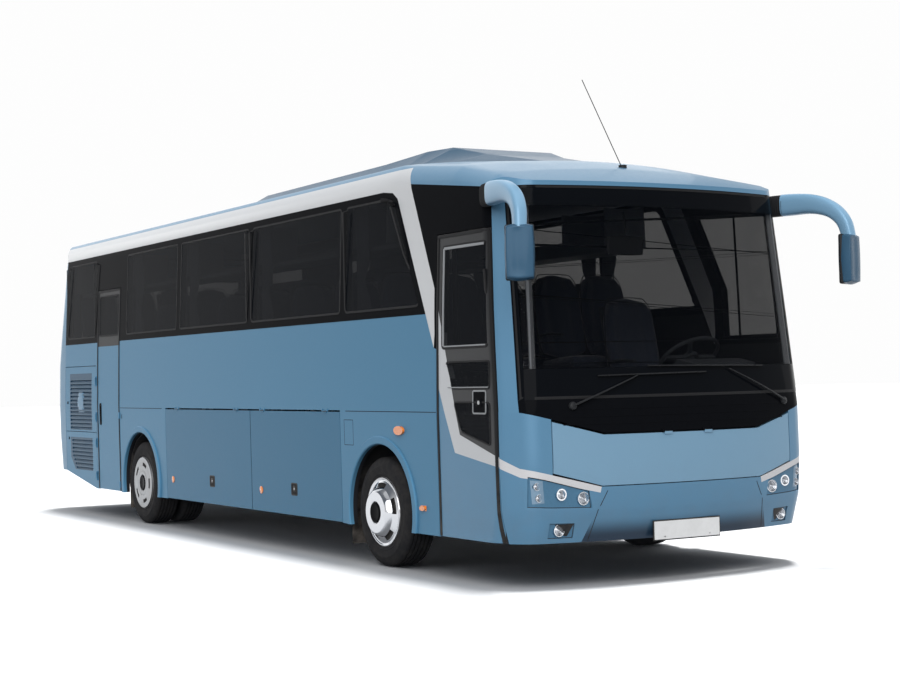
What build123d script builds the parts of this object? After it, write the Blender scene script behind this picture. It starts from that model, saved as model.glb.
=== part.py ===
from build123d import *
from math import cos, radians, sin, sqrt
import os

# A midi coach. X points forward, Y to its left, Z up, millimetres.
# Side-view places are given as distances ahead of the front axle.

# Overall sizes
wheelbase = 4800
front_overhang = 1940
rear_overhang = 2655
mirror_reach = 190
roof_height = 2860
wall = 50
glass = 10
joint_gap = 6
fit_gap = 0.3

# Where the pieces stand along the coach
front_axle_x = (rear_overhang + wheelbase - front_overhang - mirror_reach) / 2
rear_axle_x = front_axle_x - wheelbase
nose_x = front_axle_x + front_overhang
tail_x = rear_axle_x - rear_overhang

# Heights of the body's lines
skirt_z = 270
tail_skirt_z = 430
waist_z = 1083
belt_z = 1734
band_low_z = 2612
band_top_z = 2755
mask_low_z = 947
windscreen_low_z = 1160
front_roof_z = 2505

# Plan shape of the body: the nose is one large arc between two corner chamfers
nose_radius = 3480
corner_length = 350
tail_radius = 250
crease_radius = 200
corner_radius = 150

# Columns: height, half width, nose set back, half breadth of the nose arc, tail set in
body_levels = [
    (skirt_z, 1205, 80, 1062, 90),
    (480, 1207, 15, 1075, 55),
    (760, 1210, 0, 1080, 12),
    (waist_z, 1213, 8, 1080, 0),
    (1510, 1205, 55, 1053, 0),
    (belt_z, 1200, 80, 1038, 42),
    (band_low_z, 1160, 176, 981, 185),
    (2950, 1145, 212, 960, 195),
]

# Columns: distance ahead of the front axle, edge height, shoulder height, crown height
roof_stations = [
    (-7700, band_low_z, 2790, roof_height),
    (200, band_low_z, 2790, roof_height),
    (1000, 2550, 2690, 2768),
    (1450, 2490, 2592, 2655),
    (1960, 2360, 2406, 2462),
]
shoulder_y = 1060

# Wheels and axles
tyre_radius = 382
tyre_width = 235
rim_radius = 232
twin_gap = 32
wheel_face_y = 1188
front_wheel_y = wheel_face_y - tyre_width / 2
kingpin_y = 880
arch_radius = 465
arch_lip = 58
arch_lip_out = 16
liner_radius = 530
rear_liner_radius = 450

# Doors and flaps, as distances ahead of the front axle
door_rear, door_front, door_sill, door_top = 841, 1580, 275, 2245
back_door_front, back_door_rear, back_door_top = -5360, -6018, 2250
arm_pivot = (925, -1100)
arm_reach = 360
arm_elbow = (105, 130)
arm_heights = [700, 2050]
leaf_pin = (arm_pivot[0] + arm_reach, arm_pivot[1])
arm_thickness = 20
arm_eye = 16
arm_pin = 8
well_floor_z = 360
pillar_top_z = 2230
flap_low_z = 276
flap_edges = [(-4120, -2218), (-2212, -588)]
grille_door_edges = (-7042, -6062)
grille_door_heights = [(1500, 836), (830, skirt_z)]
pillars = [-5215, -3810, -2230, -540]
pillar_half = 45

# Hinges: a pin through a barrel, carried by two ears
pin_radius = 3
barrel_radius = 5
barrel_half = 30
ear_length = 16

parts = {}


def ahead(distance):
    """The X of a place given as a distance ahead of the front axle."""
    return front_axle_x + distance


def bow(half_breadth, radius=nose_radius):
    """How far the nose arc falls back at a half breadth."""
    return radius - sqrt(radius**2 - half_breadth**2)


def half_width_at(z):
    """Half width of the body at a height."""
    for low, high in zip(body_levels, body_levels[1:]):
        if z <= high[0]:
            share = (z - low[0]) / (high[0] - low[0])
            return low[1] + share * (high[1] - low[1])
    return body_levels[-1][1]


def nose_at(z):
    """X of the nose on the centre line at a height."""
    for low, high in zip(body_levels, body_levels[1:]):
        if z <= high[0]:
            share = (z - low[0]) / (high[0] - low[0])
            return nose_x - low[2] - share * (high[2] - low[2])
    return nose_x - body_levels[-1][2]


def wall_outline(level, inset):
    """Plan outline of the body at one level, moved inwards by an inset."""
    z, half, nose_back, crease, tail_in = level
    if z == skirt_z:
        z -= max(inset, 0)
    crease_y = crease - 0.75 * inset
    front_x = nose_x - nose_back - inset
    crease_x = front_x - bow(crease_y)
    corner_x = nose_x - nose_back - corner_length - 0.33 * inset
    side_y = half - inset
    back_x = tail_x + tail_in + inset
    with BuildSketch(Plane.XY.offset(z)) as outline:
        with BuildLine():
            Polyline(
                (crease_x, -crease_y),
                (corner_x, -side_y),
                (back_x, -side_y),
                (back_x, side_y),
                (corner_x, side_y),
                (crease_x, crease_y),
            )
            ThreePointArc((crease_x, crease_y), (front_x, 0), (crease_x, -crease_y))
        make_face()
        fillet(outline.vertices().sort_by(Axis.X)[:2], tail_radius - inset)
        fillet(outline.vertices().sort_by(Axis.X)[-2:], crease_radius)
        fillet(outline.vertices().sort_by(Axis.X)[-6:-4], corner_radius)
    return outline.sketch


def roof_section(station, inset):
    """Cross-section under the roof at one station, moved inwards by an inset."""
    distance, edge_z, side_z, crown_z = station
    edge_y = half_width_at(edge_z) - inset
    side_y = shoulder_y - 0.6 * inset
    edge_z = edge_z - 0.3 * inset
    side_z = side_z - 0.8 * inset
    rise = side_z - edge_z
    run = edge_y - side_y
    middle = ((edge_y + side_y) / 2 + 0.12 * rise, (edge_z + side_z) / 2 + 0.12 * run)
    far = 2 * half_width_at(waist_z)
    with BuildSketch(Plane.YZ.offset(ahead(distance))) as section:
        with BuildLine():
            Polyline((edge_y, edge_z), (far, edge_z), (far, 0), (-far, 0), (-far, edge_z), (-edge_y, edge_z))
            ThreePointArc((-edge_y, edge_z), (-middle[0], middle[1]), (-side_y, side_z))
            ThreePointArc((-side_y, side_z), (0, crown_z - inset), (side_y, side_z))
            ThreePointArc((side_y, side_z), middle, (edge_y, edge_z))
        make_face()
    return section.sketch


def body_solid(inset):
    """The whole body as one closed form, moved inwards by an inset."""
    with BuildPart() as solid:
        loft([wall_outline(level, inset) for level in body_levels], ruled=True)
        loft(
            [roof_section(station, inset) for station in roof_stations],
            ruled=True,
            mode=Mode.INTERSECT,
        )
    return solid.part


outer = body_solid(0)
inner = body_solid(wall)
glass_inner = body_solid(glass)
liner = body_solid(wall + fit_gap)
body_clear = body_solid(-fit_gap)
shell = outer - inner
glass_shell = outer - glass_inner


def outline_face(plane, points):
    """A flat face with straight edges on a plane."""
    with BuildSketch(plane) as region:
        with BuildLine():
            Polyline(*points, close=True)
        make_face()
    return region.sketch


def side_prism(points, side, mode, start=600, depth=900):
    """Cuts or keeps what lies inside a side-view outline on one side, -1 being the right."""
    places = [(ahead(x), z) for x, z in points]
    plane = Plane.XZ.offset(-side * start)
    extrude(outline_face(plane, places), amount=-side * depth, mode=mode)


def end_prism(points, mode, start, depth):
    """Cuts or keeps what lies inside an end-view outline, from start forwards."""
    extrude(outline_face(Plane.YZ.offset(start), points), amount=depth, mode=mode)


def mirrored(points):
    """An end-view outline and its mirror image, as one closed outline."""
    return points + [(-y, z) for y, z in reversed(points)]


def side_piece(source, points, side, holes=(), start=600):
    """The part of a shell inside a side-view outline, less the holes."""
    with BuildPart() as piece:
        add(source)
        side_prism(points, side, Mode.INTERSECT, start)
        for hole in holes:
            side_prism(hole, side, Mode.SUBTRACT, start)
    return piece.part


def box_between(low, high):
    """A box from its lowest to its highest corner."""
    size = [b - a for a, b in zip(low, high)]
    centre = [(a + b) / 2 for a, b in zip(low, high)]
    with BuildPart(Plane(origin=centre)) as block:
        Box(*size)
    return block.part


def rectangle(x_low, x_high, z_low, z_high):
    """A side-view rectangle."""
    return [(x_low, z_low), (x_high, z_low), (x_high, z_high), (x_low, z_high)]


def finish(name, *solids):
    """Labels a sub-part made of one or more solids and keeps it for the export."""
    found = [s for item in solids for s in item.solids()]
    parts[name] = Compound(label=name, children=found) if len(found) > 1 else found[0]
    parts[name].label = name


def joined(*pieces):
    """Pieces of one sub-part fused together."""
    with BuildPart() as whole:
        for piece in pieces:
            add(piece)
    return whole.part


# Hinges
def hinge_pin(plane, depth):
    """The fixed half: a pin between two ears. Local Y points to the fixed panel, Z outwards."""
    reach = barrel_half + 1 + ear_length
    with BuildPart(plane) as half:
        for x in (-reach + ear_length / 2, reach - ear_length / 2):
            with Locations((x, 0, 0)):
                Cylinder(barrel_radius, ear_length, rotation=(0, 90, 0))
            with Locations((x, (joint_gap + barrel_radius) / 2, 0)):
                Box(ear_length, joint_gap + barrel_radius, 2 * barrel_radius)
            with Locations((x, joint_gap + barrel_radius, -depth / 2)):
                Box(ear_length, 2 * barrel_radius, depth + 2 * barrel_radius)
        Cylinder(pin_radius, 2 * reach - 2, rotation=(0, 90, 0))
    return half.part


def hinge_barrel(plane, depth):
    """The moving half: a barrel and its leaf on the other side of the pin."""
    with BuildPart(plane) as half:
        with Locations((0, -joint_gap / 2 - barrel_radius / 2, 0)):
            Box(2 * barrel_half, joint_gap + barrel_radius, 2 * barrel_radius)
        with Locations((0, -joint_gap - barrel_radius, -depth / 2)):
            Box(2 * barrel_half, 2 * barrel_radius, depth + 2 * barrel_radius)
        Cylinder(barrel_radius, 2 * barrel_half, rotation=(0, 90, 0))
        Cylinder(pin_radius + fit_gap, 2 * barrel_half, rotation=(0, 90, 0), mode=Mode.SUBTRACT)
    return half.part


def hinge_plane(origin, along, outward):
    return Plane(origin=origin, x_dir=along, z_dir=outward)


# Side outlines shared by both sides
band_region = [
    (-7700, band_low_z), (60, band_low_z), (200, 2594), (272, 2547), (692, belt_z), (801, 1506),
    (812, 1600), (806, 1900), (450, 2630), (360, band_top_z), (-7700, band_top_z),
]
window_front = [(692, belt_z), (272, 2547), (200, 2594), (60, band_low_z)]
pillar_low = (door_front + joint_gap, 1100)
pillar_high = (1455, front_roof_z)


def pillar_at(z):
    """How far ahead of the front axle the front pillar's rear edge stands at a height."""
    share = (z - pillar_low[1]) / (pillar_high[1] - pillar_low[1])
    return pillar_low[0] + max(0, share) * (pillar_high[0] - pillar_low[0])


door_pillar_top = pillar_at(door_top) - joint_gap
pane_low_z, pane_high_z = 1795, 2555

arch_centres = [20, -wheelbase + 5]


def arch_cut(side):
    """Cuts both wheel arches out of a wall."""
    for centre in arch_centres:
        plane = Plane(origin=(ahead(centre), side * 900, tyre_radius + 8), x_dir=(1, 0, 0), z_dir=(0, side, 0))
        with BuildSketch(plane) as hole:
            Circle(arch_radius)
            with Locations((0, side * arch_radius)):
                Rectangle(2 * arch_radius, 2 * arch_radius)
        extrude(hole.sketch, amount=400, mode=Mode.SUBTRACT)


def arch_ring(side, centre):
    """The flared lip round a wheel arch, down to the skirt's lower edge."""
    z = tyre_radius + 8
    half = half_width_at(z)
    plane = Plane(origin=(ahead(centre), side * (half - wall / 2), z), x_dir=(1, 0, 0), z_dir=(0, side, 0))
    with BuildPart() as ring:
        with BuildSketch(plane) as outline:
            Circle(arch_radius + arch_lip)
            Circle(arch_radius, mode=Mode.SUBTRACT)
        extrude(outline.sketch, amount=wall / 2 + arch_lip_out)
        chamfer(ring.edges().filter_by(GeomType.CIRCLE).group_by(Axis.Y)[0 if side < 0 else -1], 7)
        split(bisect_by=Plane.XY.offset(skirt_z), keep=Keep.TOP)
    return ring.part


# Lower side panels, with the wheel arches and the hinge pins of the flaps
flap_hinges = {}
for side in (-1, 1):
    for number, (rear, front) in enumerate(flap_edges, start=1):
        for share in (0.15, 0.85):
            x = ahead(rear + share * (front - rear))
            origin = (x, side * half_width_at(waist_z), waist_z)
            plane = hinge_plane(origin, (-side, 0, 0), (0, side, 0))
            flap_hinges.setdefault((side, number), []).append(plane)

tail_region = [(-7050, tail_skirt_z - 8), (-6090, skirt_z), (-6026, skirt_z)]
skirts = []
for side in (-1, 1):
    front_edge = door_rear - 2 * joint_gap if side < 0 else door_front + joint_gap
    rear_edge = back_door_front + joint_gap if side < 0 else -6026
    for low, high in ((flap_edges[1][1] + joint_gap, front_edge), (rear_edge, flap_edges[0][0] - joint_gap)):
        with BuildPart() as skirt:
            add(shell)
            side_prism(rectangle(low, high, skirt_z - 5, waist_z + joint_gap), side, Mode.INTERSECT)
            arch_cut(side)
            add(arch_ring(side, arch_centres[0] if low > -1000 else arch_centres[1]))
        skirts.append(skirt.part)
finish("skirt_panels", *skirts)

# Waist panels between the flaps and the windows
waist_low = waist_z + joint_gap
waist_right = side_piece(shell, [
    (back_door_front + joint_gap, waist_low), (door_rear - 2 * joint_gap, waist_low),
    (door_rear - 2 * joint_gap, 1500), (801, 1506), (692, belt_z), (back_door_front + joint_gap, belt_z),
], -1)
waist_left = side_piece(shell, [
    (-6026, waist_low), (pillar_at(waist_low), waist_low), (pillar_at(1100), 1100), (pillar_at(1500), 1500), (801, 1506),
    (692, belt_z), (-6026, belt_z),
], 1)
quarters = []
for side in (-1, 1):
    quarters.append(side_piece(shell, [
        (-7050, 1506), (-6056, 1506), (-6056, skirt_z - 5), (-6026, skirt_z - 5), (-6026, belt_z), (-7050, belt_z),
    ], side))
pins = {side: [hinge_pin(p, 0) for n in (1, 2) for p in flap_hinges[side, n]] for side in (-1, 1)}
back_door_hinges = [
    hinge_plane((ahead(back_door_front + joint_gap / 2), -half_width_at(waist_z) - joint_gap, z), (0, 0, -1), (0, -1, 0))
    for z in (340, 1010)
]
back_pins = [hinge_pin(p, 22) for p in back_door_hinges]
grille_hinges = {}
for side in (-1, 1):
    for number, (high, low) in enumerate(grille_door_heights, start=1):
        for z in ((high + low) / 2 - 180, (high + low) / 2 + 180):
            z = max(z, 400)
            origin = (ahead(grille_door_edges[1] + joint_gap / 2), side * (half_width_at(waist_z) + joint_gap), z)
            grille_hinges.setdefault((side, number), []).append(hinge_plane(origin, (0, 0, side), (0, side, 0)))
grille_pins = {side: [hinge_pin(p, 22) for n in (1, 2) for p in grille_hinges[side, n]] for side in (-1, 1)}
finish(
    "waist_panels",
    joined(waist_right, *pins[-1]),
    joined(waist_left, *pins[1]),
    joined(quarters[0], *grille_pins[-1]),
    joined(quarters[1], *grille_pins[1]),
)

# Luggage flaps
for side, word in ((-1, "right"), (1, "left")):
    for number, (rear, front) in enumerate(flap_edges, start=1):
        place = "rear" if number == 1 else "front"
        panel = side_piece(shell, rectangle(rear, front, flap_low_z, waist_z - joint_gap), side)
        barrels = [hinge_barrel(p, 0) for p in flap_hinges[side, number]]
        finish(f"luggage_flap_{place}_{word}", joined(panel, *barrels))

# Window band: the black frame and its panes
pane_edges = [-6960] + [x for p in [-6045] + pillars for x in (p - pillar_half, p + pillar_half)]


def window_panes(side, inset):
    """Side-view outlines of the panes, drawn in by an inset."""
    panes = []
    for rear, front in zip(pane_edges[0::2], pane_edges[1::2]):
        if side < 0 and rear == -6045 + pillar_half:
            continue
        panes.append(rectangle(rear + inset, front - inset, pane_low_z + inset, pane_high_z - inset))
    rear = pane_edges[-1] + inset
    panes.append([
        (rear, pane_low_z + inset), (590 - 1.2 * inset, pane_low_z + inset), (228 - 1.2 * inset, 2505),
        (190, 2540), (110, pane_high_z - inset), (rear, pane_high_z - inset),
    ])
    return panes


frames, panes = [], []
frame_right = [(-7050, belt_z), (-6026, belt_z), (-6026, back_door_top + joint_gap),
               (back_door_front + joint_gap, back_door_top + joint_gap), (back_door_front + joint_gap, belt_z)]
frame_left = [(-7050, belt_z)]
for side, start in ((-1, frame_right), (1, frame_left)):
    frames.append(side_piece(shell, start + window_front + [(-7050, band_low_z)], side, window_panes(side, 0)))
    panes += [side_piece(glass_shell, pane, side) for pane in window_panes(side, 0.5)]
header_right = side_piece(shell, [
    (801, 1506), (829, 1500), (829, door_top + joint_gap), (pillar_at(door_top + joint_gap), door_top + joint_gap),
    pillar_high, (450, 2630), (806, 1900), (812, 1600),
], -1)
bearing_x = ahead(arm_pivot[0])
bearing_low = box_between(
    (bearing_x - 35, arm_pivot[1] - 18, pillar_top_z + 1), (bearing_x + 35, arm_pivot[1] + 30, 2290),
)
bearing_high = box_between(
    (bearing_x - 35, -half_width_at(2290) + wall / 2, door_top + 2 * joint_gap), (bearing_x + 35, arm_pivot[1], 2290),
)
header_right = joined(header_right, bearing_low, bearing_high)
driver_pane = [(905, 1560), (1480, 1560), (1418, 2400), (640, 2440), (905, 1900)]
driver_glass = [(907, 1562), (1478, 1562), (1416, 2398), (644, 2438), (907, 1902)]
header_left = side_piece(shell, [
    (801, 1506), (pillar_at(1500), 1500), pillar_high, (450, 2630), (806, 1900), (812, 1600),
], 1, [driver_pane])
panes.append(side_piece(glass_shell, driver_glass, 1))
finish("window_frames", *frames, header_right, header_left)
finish("side_windows", *panes)

# Silver bands along the roof edge and down behind the front door
finish("roof_bands", *[side_piece(shell, band_region, side, start=900) for side in (-1, 1)])

# Roof panel with the front cap
with BuildPart() as roof:
    add(shell)
    side_prism([
        (-7800, band_top_z), (360, band_top_z), (450, 2630), pillar_high, (2200, front_roof_z),
        (2200, 3200), (-7800, 3200),
    ], -1, Mode.INTERSECT, start=-1400, depth=2800)
finish("roof", roof.part)

# Front end: outlines in the end view, from the centre outwards
strip_joint_z = 613
flap_half_y = 956
glass_low_y, glass_high_y = 1125, 1085
bumper_region = mirrored([(747, skirt_z - 20), (673, 454), (639, strip_joint_z)])
mask_region = mirrored([(617, mask_low_z), (glass_low_y, 1084), (glass_low_y, windscreen_low_z)])
front_flap_region = mirrored([
    (633, strip_joint_z + joint_gap), (flap_half_y - joint_gap, 706), (flap_half_y - joint_gap, 1022),
    (617, mask_low_z - 2 * joint_gap),
])
flap_edge_region = mirrored([(600, 593), (1000, 690), (1000, 758), (600, 654)])
centre_region = mirrored([
    (747, skirt_z - 20), (673, 454), (639, strip_joint_z), (flap_half_y, 695), (flap_half_y, 1038),
    (glass_low_y, 1084), (glass_low_y, windscreen_low_z), (glass_high_y, front_roof_z + 1),
])
windscreen_region = mirrored([
    (glass_low_y - 0.5, windscreen_low_z + 0.5), (glass_high_y - 0.5, front_roof_z - 0.5),
])
front_start = ahead(1100)
front_depth = 1200


def front_piece(source, region, holes=()):
    """The part of a shell inside an end-view outline at the nose."""
    with BuildPart() as piece:
        add(source)
        end_prism(region, Mode.INTERSECT, front_start, front_depth)
        for hole in holes:
            end_prism(hole, Mode.SUBTRACT, front_start, front_depth)
    return piece.part


# Columns: height and half breadth of the centre, lens radius
lamp_lenses = [(545, 758, 41), (574, 899, 36), (628, 1046, 24), (556, 1034, 24)]
fog_lamp = (350, 893, 38)
lamp_region = [(700, 485), (720, 590), (1000, 668), (1096, 690), (1096, 500), (960, 492)]
fog_region = [(800, 300), (800, 392), (960, 396), (960, 300)]


def pod_outline(points, side):
    return [(side * y, z) for y, z in points]


corners = []
for side in (-1, 1):
    with BuildPart() as corner:
        add(shell)
        side_prism([
            (door_front + joint_gap, skirt_z - 5), pillar_low, pillar_high, (2200, front_roof_z), (2200, skirt_z - 5),
        ], side, Mode.INTERSECT, start=500)
        end_prism(centre_region, Mode.SUBTRACT, front_start, front_depth)
        end_prism(pod_outline(lamp_region, side), Mode.SUBTRACT, front_start, front_depth)
        end_prism(pod_outline(fog_region, side), Mode.SUBTRACT, front_start, front_depth)
    corners.append(corner.part)
finish("front_corners", *corners)

recess = body_solid(10)
recess_shell = recess - inner
lamps = []
for side in (-1, 1):
    pieces = []
    for region, lenses in ((lamp_region, lamp_lenses), (fog_region, [fog_lamp])):
        with BuildPart() as lamp:
            add(recess_shell)
            end_prism(pod_outline(region, side), Mode.INTERSECT, front_start, front_depth)
            for z, y, radius in lenses:
                face_x = nose_at(z) - bow(y) - (18 if y > 1000 else 0)
                with BuildSketch(Plane.YZ.offset(face_x - 60)) as lens:
                    with Locations((side * y, z)):
                        Circle(radius)
                extrude(lens.sketch, amount=52)
        pieces += lamp.part.solids()
    lamps += pieces
finish("front_lamps", *lamps)

finish("front_bumper", front_piece(shell, bumper_region))
flap_axis_x = nose_at(mask_low_z)
flap_axis_z = mask_low_z - joint_gap
front_flap_hinges = [
    hinge_plane((flap_axis_x, y, flap_axis_z), (0, 1, 0), (1, 0, 0)) for y in (-160, 160)
]
finish("front_mask", joined(front_piece(shell, mask_region), *[hinge_pin(p, 14) for p in front_flap_hinges]))
with BuildPart() as flap_edge:
    add(recess)
    end_prism(flap_edge_region, Mode.INTERSECT, front_start, front_depth)
flap_panel = front_piece(shell, front_flap_region) - flap_edge.part
finish("front_flap", joined(flap_panel, *[hinge_barrel(p, 14) for p in front_flap_hinges]))
finish("windscreen", front_piece(glass_shell, windscreen_region))

# Blank number plate on the bumper
plate_width, plate_height, plate_thickness = 520, 114, 8
plate_z = 317
plate_x = nose_at(plate_z + plate_height / 2) + fit_gap
finish("number_plate", box_between(
    (plate_x, -plate_width / 2, plate_z - plate_height / 2),
    (plate_x + plate_thickness, plate_width / 2, plate_z + plate_height / 2),
))

# Rear end: everything behind the side panels
rear_split = ahead(-7050)
rear_reach = 900
rear_window_region = mirrored([(930, 1790), (905, 2450)])
lid_half_y, lid_low_z, lid_high_z = 800, 640, 1450
lid_region = mirrored([(lid_half_y - joint_gap, lid_low_z + joint_gap + 4), (lid_half_y - joint_gap, lid_high_z)])
lid_hole = mirrored([(lid_half_y, lid_low_z), (lid_half_y, lid_high_z + 2 * joint_gap)])
tail_lamp_region = [(870, 700), (1080, 700), (1080, 1330), (870, 1330)]
bumper_top_z = 628
tow_y, tow_z, tow_radius, tow_depth, tow_face = -420, 540, 12, 80, 40


def rear_piece(source, region, holes=()):
    """The part of a shell inside an end-view outline at the tail."""
    with BuildPart() as piece:
        add(source)
        end_prism(region, Mode.INTERSECT, rear_split - rear_reach, rear_reach)
        for hole in holes:
            end_prism(hole, Mode.SUBTRACT, rear_split - rear_reach, rear_reach)
    return piece.part


with BuildPart() as tail_cut:
    side_prism([(-8000, tail_skirt_z), (-7050, tail_skirt_z - 8), (-6090, skirt_z), (-6090, 0), (-8000, 0)],
               -1, Mode.ADD, start=-1500, depth=3000)
skirt_cut = tail_cut.part
rear_full = [(1300, bumper_top_z), (1300, band_low_z), (900, band_low_z), (900, band_top_z)]
rear_panel = rear_piece(shell, mirrored(rear_full), [
    rear_window_region, lid_hole, pod_outline(tail_lamp_region, 1), pod_outline(tail_lamp_region, -1),
])
lid_hinges = [hinge_plane((tail_x, y, lid_high_z + joint_gap), (0, -1, 0), (-1, 0, 0)) for y in (-500, 500)]
finish("rear_panel", joined(rear_panel, *[hinge_pin(p, 0) for p in lid_hinges]))
finish("rear_window", rear_piece(glass_shell, mirrored([(929.5, 1790.5), (904.5, 2449.5)])))
with BuildPart() as rear_bumper:
    add(rear_piece(shell, mirrored([(1300, 0), (1300, bumper_top_z - fit_gap)])) - skirt_cut)
    with BuildSketch(Plane.YZ.offset(tail_x + tow_face)) as boss:
        with Locations((tow_y, tow_z)):
            Circle(tow_radius + 12)
    extrude(boss.sketch, amount=tow_depth + 10)
    with BuildSketch(Plane.YZ.offset(tail_x + tow_face)) as socket:
        with Locations((tow_y, tow_z)):
            Circle(tow_radius)
    extrude(socket.sketch, amount=tow_depth, mode=Mode.SUBTRACT)
finish("rear_bumper", rear_bumper.part)
finish("rear_lamps", *[rear_piece(shell, pod_outline([(870.5, 700.5), (1079.5, 700.5), (1079.5, 1329.5),
                                                       (870.5, 1329.5)], side)) for side in (-1, 1)])
slats = [lid_low_z + 90 + 46 * n for n in range(14)]
lid = rear_piece(shell, lid_region, [
    mirrored([(520, z), (520, z + 24)]) for z in slats
])
finish("engine_lid", joined(lid, *[hinge_barrel(p, 0) for p in lid_hinges]))

# Grille doors at the rear corners: louvred panels over the radiator
for side, word in ((-1, "right"), (1, "left")):
    for number, (high, low) in enumerate(grille_door_heights, start=1):
        place = "upper" if number == 1 else "lower"
        rear, front = grille_door_edges
        with BuildPart() as door:
            add(shell)
            side_prism(rectangle(rear, front, low, high), side, Mode.INTERSECT)
            if number == 1:
                slots = [(z, -6885, -6208) for z in range(862, 1380, 40)]
            else:
                slots = [(z, -6848 + max(0, 590 - z) * 0.9, -6194) for z in range(450, 770, 40)]
            for z, back, fore in slots:
                if number == 1 and 1040 < z < 1240:
                    for a, b in ((back, -6610), (-6480, fore)):
                        side_prism(rectangle(a, b, z, z + 20), side, Mode.SUBTRACT)
                else:
                    side_prism(rectangle(back, fore, z, z + 20), side, Mode.SUBTRACT)
            for plane in grille_hinges[side, number]:
                add(hinge_barrel(plane, 22))
        finish(f"grille_door_{place}_{word}", door.part - skirt_cut)

# Front door: a leaf that glides out and back on two arms
door_region = [(door_rear, door_sill), (door_front, door_sill), (door_front, 1100), (door_pillar_top, door_top),
               (door_rear, door_top)]
door_panes = [
    [(911, 1500), (1476, 1500), (1438, 2165), (911, 2165)],
    [(1040, 1235), (1500, 1235), (1500, 1410), (960, 1410)],
    [(1150, 960), (1500, 880), (1500, 1150), (1060, 1150)],
]

door_pane_glass = [
    [(912, 1501), (1475, 1501), (1437, 2164), (912, 2164)],
    [(1041.5, 1236), (1499, 1236), (1499, 1409), (962, 1409)],
    [(1151.5, 961), (1499, 881.5), (1499, 1149), (1062, 1149)],
]
leaf = side_piece(shell, door_region, -1, door_panes)
brackets = []
for z in arm_heights:
    x, y = ahead(leaf_pin[0]), leaf_pin[1]
    inner_y = half_width_at(z) - wall
    with BuildPart() as bracket:
        for level in (z - arm_thickness / 2 - 1 - 6, z + arm_thickness / 2 + 1 + 6):
            with BuildSketch(Plane.XY.offset(level - 5)) as lug:
                with Locations((x, y)):
                    Circle(arm_pin + 6)
                with Locations((x, (y - inner_y) / 2 - 1)):
                    Rectangle(28, inner_y + y + 4)
            extrude(lug.sketch, amount=10)
        with BuildSketch(Plane.XY.offset(z - 17)) as pin:
            with Locations((x, y)):
                Circle(arm_pin)
        extrude(pin.sketch, amount=34)
    brackets.append(bracket.part)
finish("front_door", joined(leaf, *brackets))
finish("front_door_windows", *[side_piece(glass_shell, pane, -1) for pane in door_pane_glass])

with BuildPart() as arms:
    with BuildSketch(Plane.XY.offset(well_floor_z + fit_gap)) as pillar:
        with Locations((ahead(arm_pivot[0]), arm_pivot[1])):
            Circle(20)
    extrude(pillar.sketch, amount=pillar_top_z - well_floor_z)
    for z in arm_heights:
        pivot = (ahead(arm_pivot[0]), arm_pivot[1])
        elbow = (pivot[0] + arm_elbow[0], pivot[1] + arm_elbow[1])
        end = (ahead(leaf_pin[0]), leaf_pin[1])
        with BuildSketch(Plane.XY.offset(z - arm_thickness / 2)) as arm:
            with BuildLine() as path:
                Polyline(pivot, elbow, end)
            trace(line_width=22)
            with Locations(end):
                Circle(arm_eye)
                Circle(arm_pin + fit_gap, mode=Mode.SUBTRACT)
        extrude(arm.sketch, amount=arm_thickness)
finish("front_door_arms", arms.part)

# Rear door, hinged at its forward edge
back_region = rectangle(back_door_rear, back_door_front, door_sill, back_door_top)
back_pane = rectangle(-5965, -5415, 1795, 2190)
finish("rear_door", joined(
    side_piece(shell, back_region, -1, [back_pane]), *[hinge_barrel(p, 22) for p in back_door_hinges]
))
finish("rear_door_window", side_piece(glass_shell, rectangle(-5964, -5416, 1796, 2189), -1))

# Floor: main deck, raised rear platform, driver's platform and two step wells
deck_z, platform_z, rear_deck_z, deck_thickness = 1000, 850, 1350, 50
deck_front, deck_rear = 450, -6050
well_edges = (door_rear - 15, door_front + 6)
back_well_edges = (back_door_rear - 4, back_door_front + 4)
well_inner_y = 560
plate = 15


def deck(x_low, x_high, right_y, top):
    """A floor slab that fits between the walls, from an edge on the right side."""
    with BuildPart() as slab:
        add(liner)
        add(box_between((ahead(x_low), right_y, top - deck_thickness), (ahead(x_high), 1300, top)), mode=Mode.INTERSECT)
    return slab.part


# Columns: rear end, front end, edge on the right side, top
deck_slabs = [
    (deck_rear, back_well_edges[0] - fit_gap, -1300, deck_z),
    (back_well_edges[0], back_well_edges[1] - fit_gap, fit_gap - well_inner_y, deck_z),
    (back_well_edges[1], deck_front, -1300, deck_z),
    (deck_front + fit_gap, well_edges[0] - fit_gap, -1300, platform_z),
    (well_edges[0], well_edges[1], fit_gap - well_inner_y, platform_z),
    (well_edges[1] + fit_gap, 1700, -1300, platform_z),
    (-7600, deck_rear - fit_gap, -1300, rear_deck_z),
]
slabs = [deck(*slab) for slab in deck_slabs]
under_deck_z = deck_z - deck_thickness - fit_gap
slabs.append(box_between((ahead(deck_front - plate), -1100, platform_z - deck_thickness), (ahead(deck_front), 1100, under_deck_z)))
slabs.append(box_between((ahead(deck_rear), -1100, deck_z + fit_gap), (ahead(deck_rear + plate), 1100, rear_deck_z)))
wells = []
well_space = body_solid(wall + joint_gap)
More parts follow.
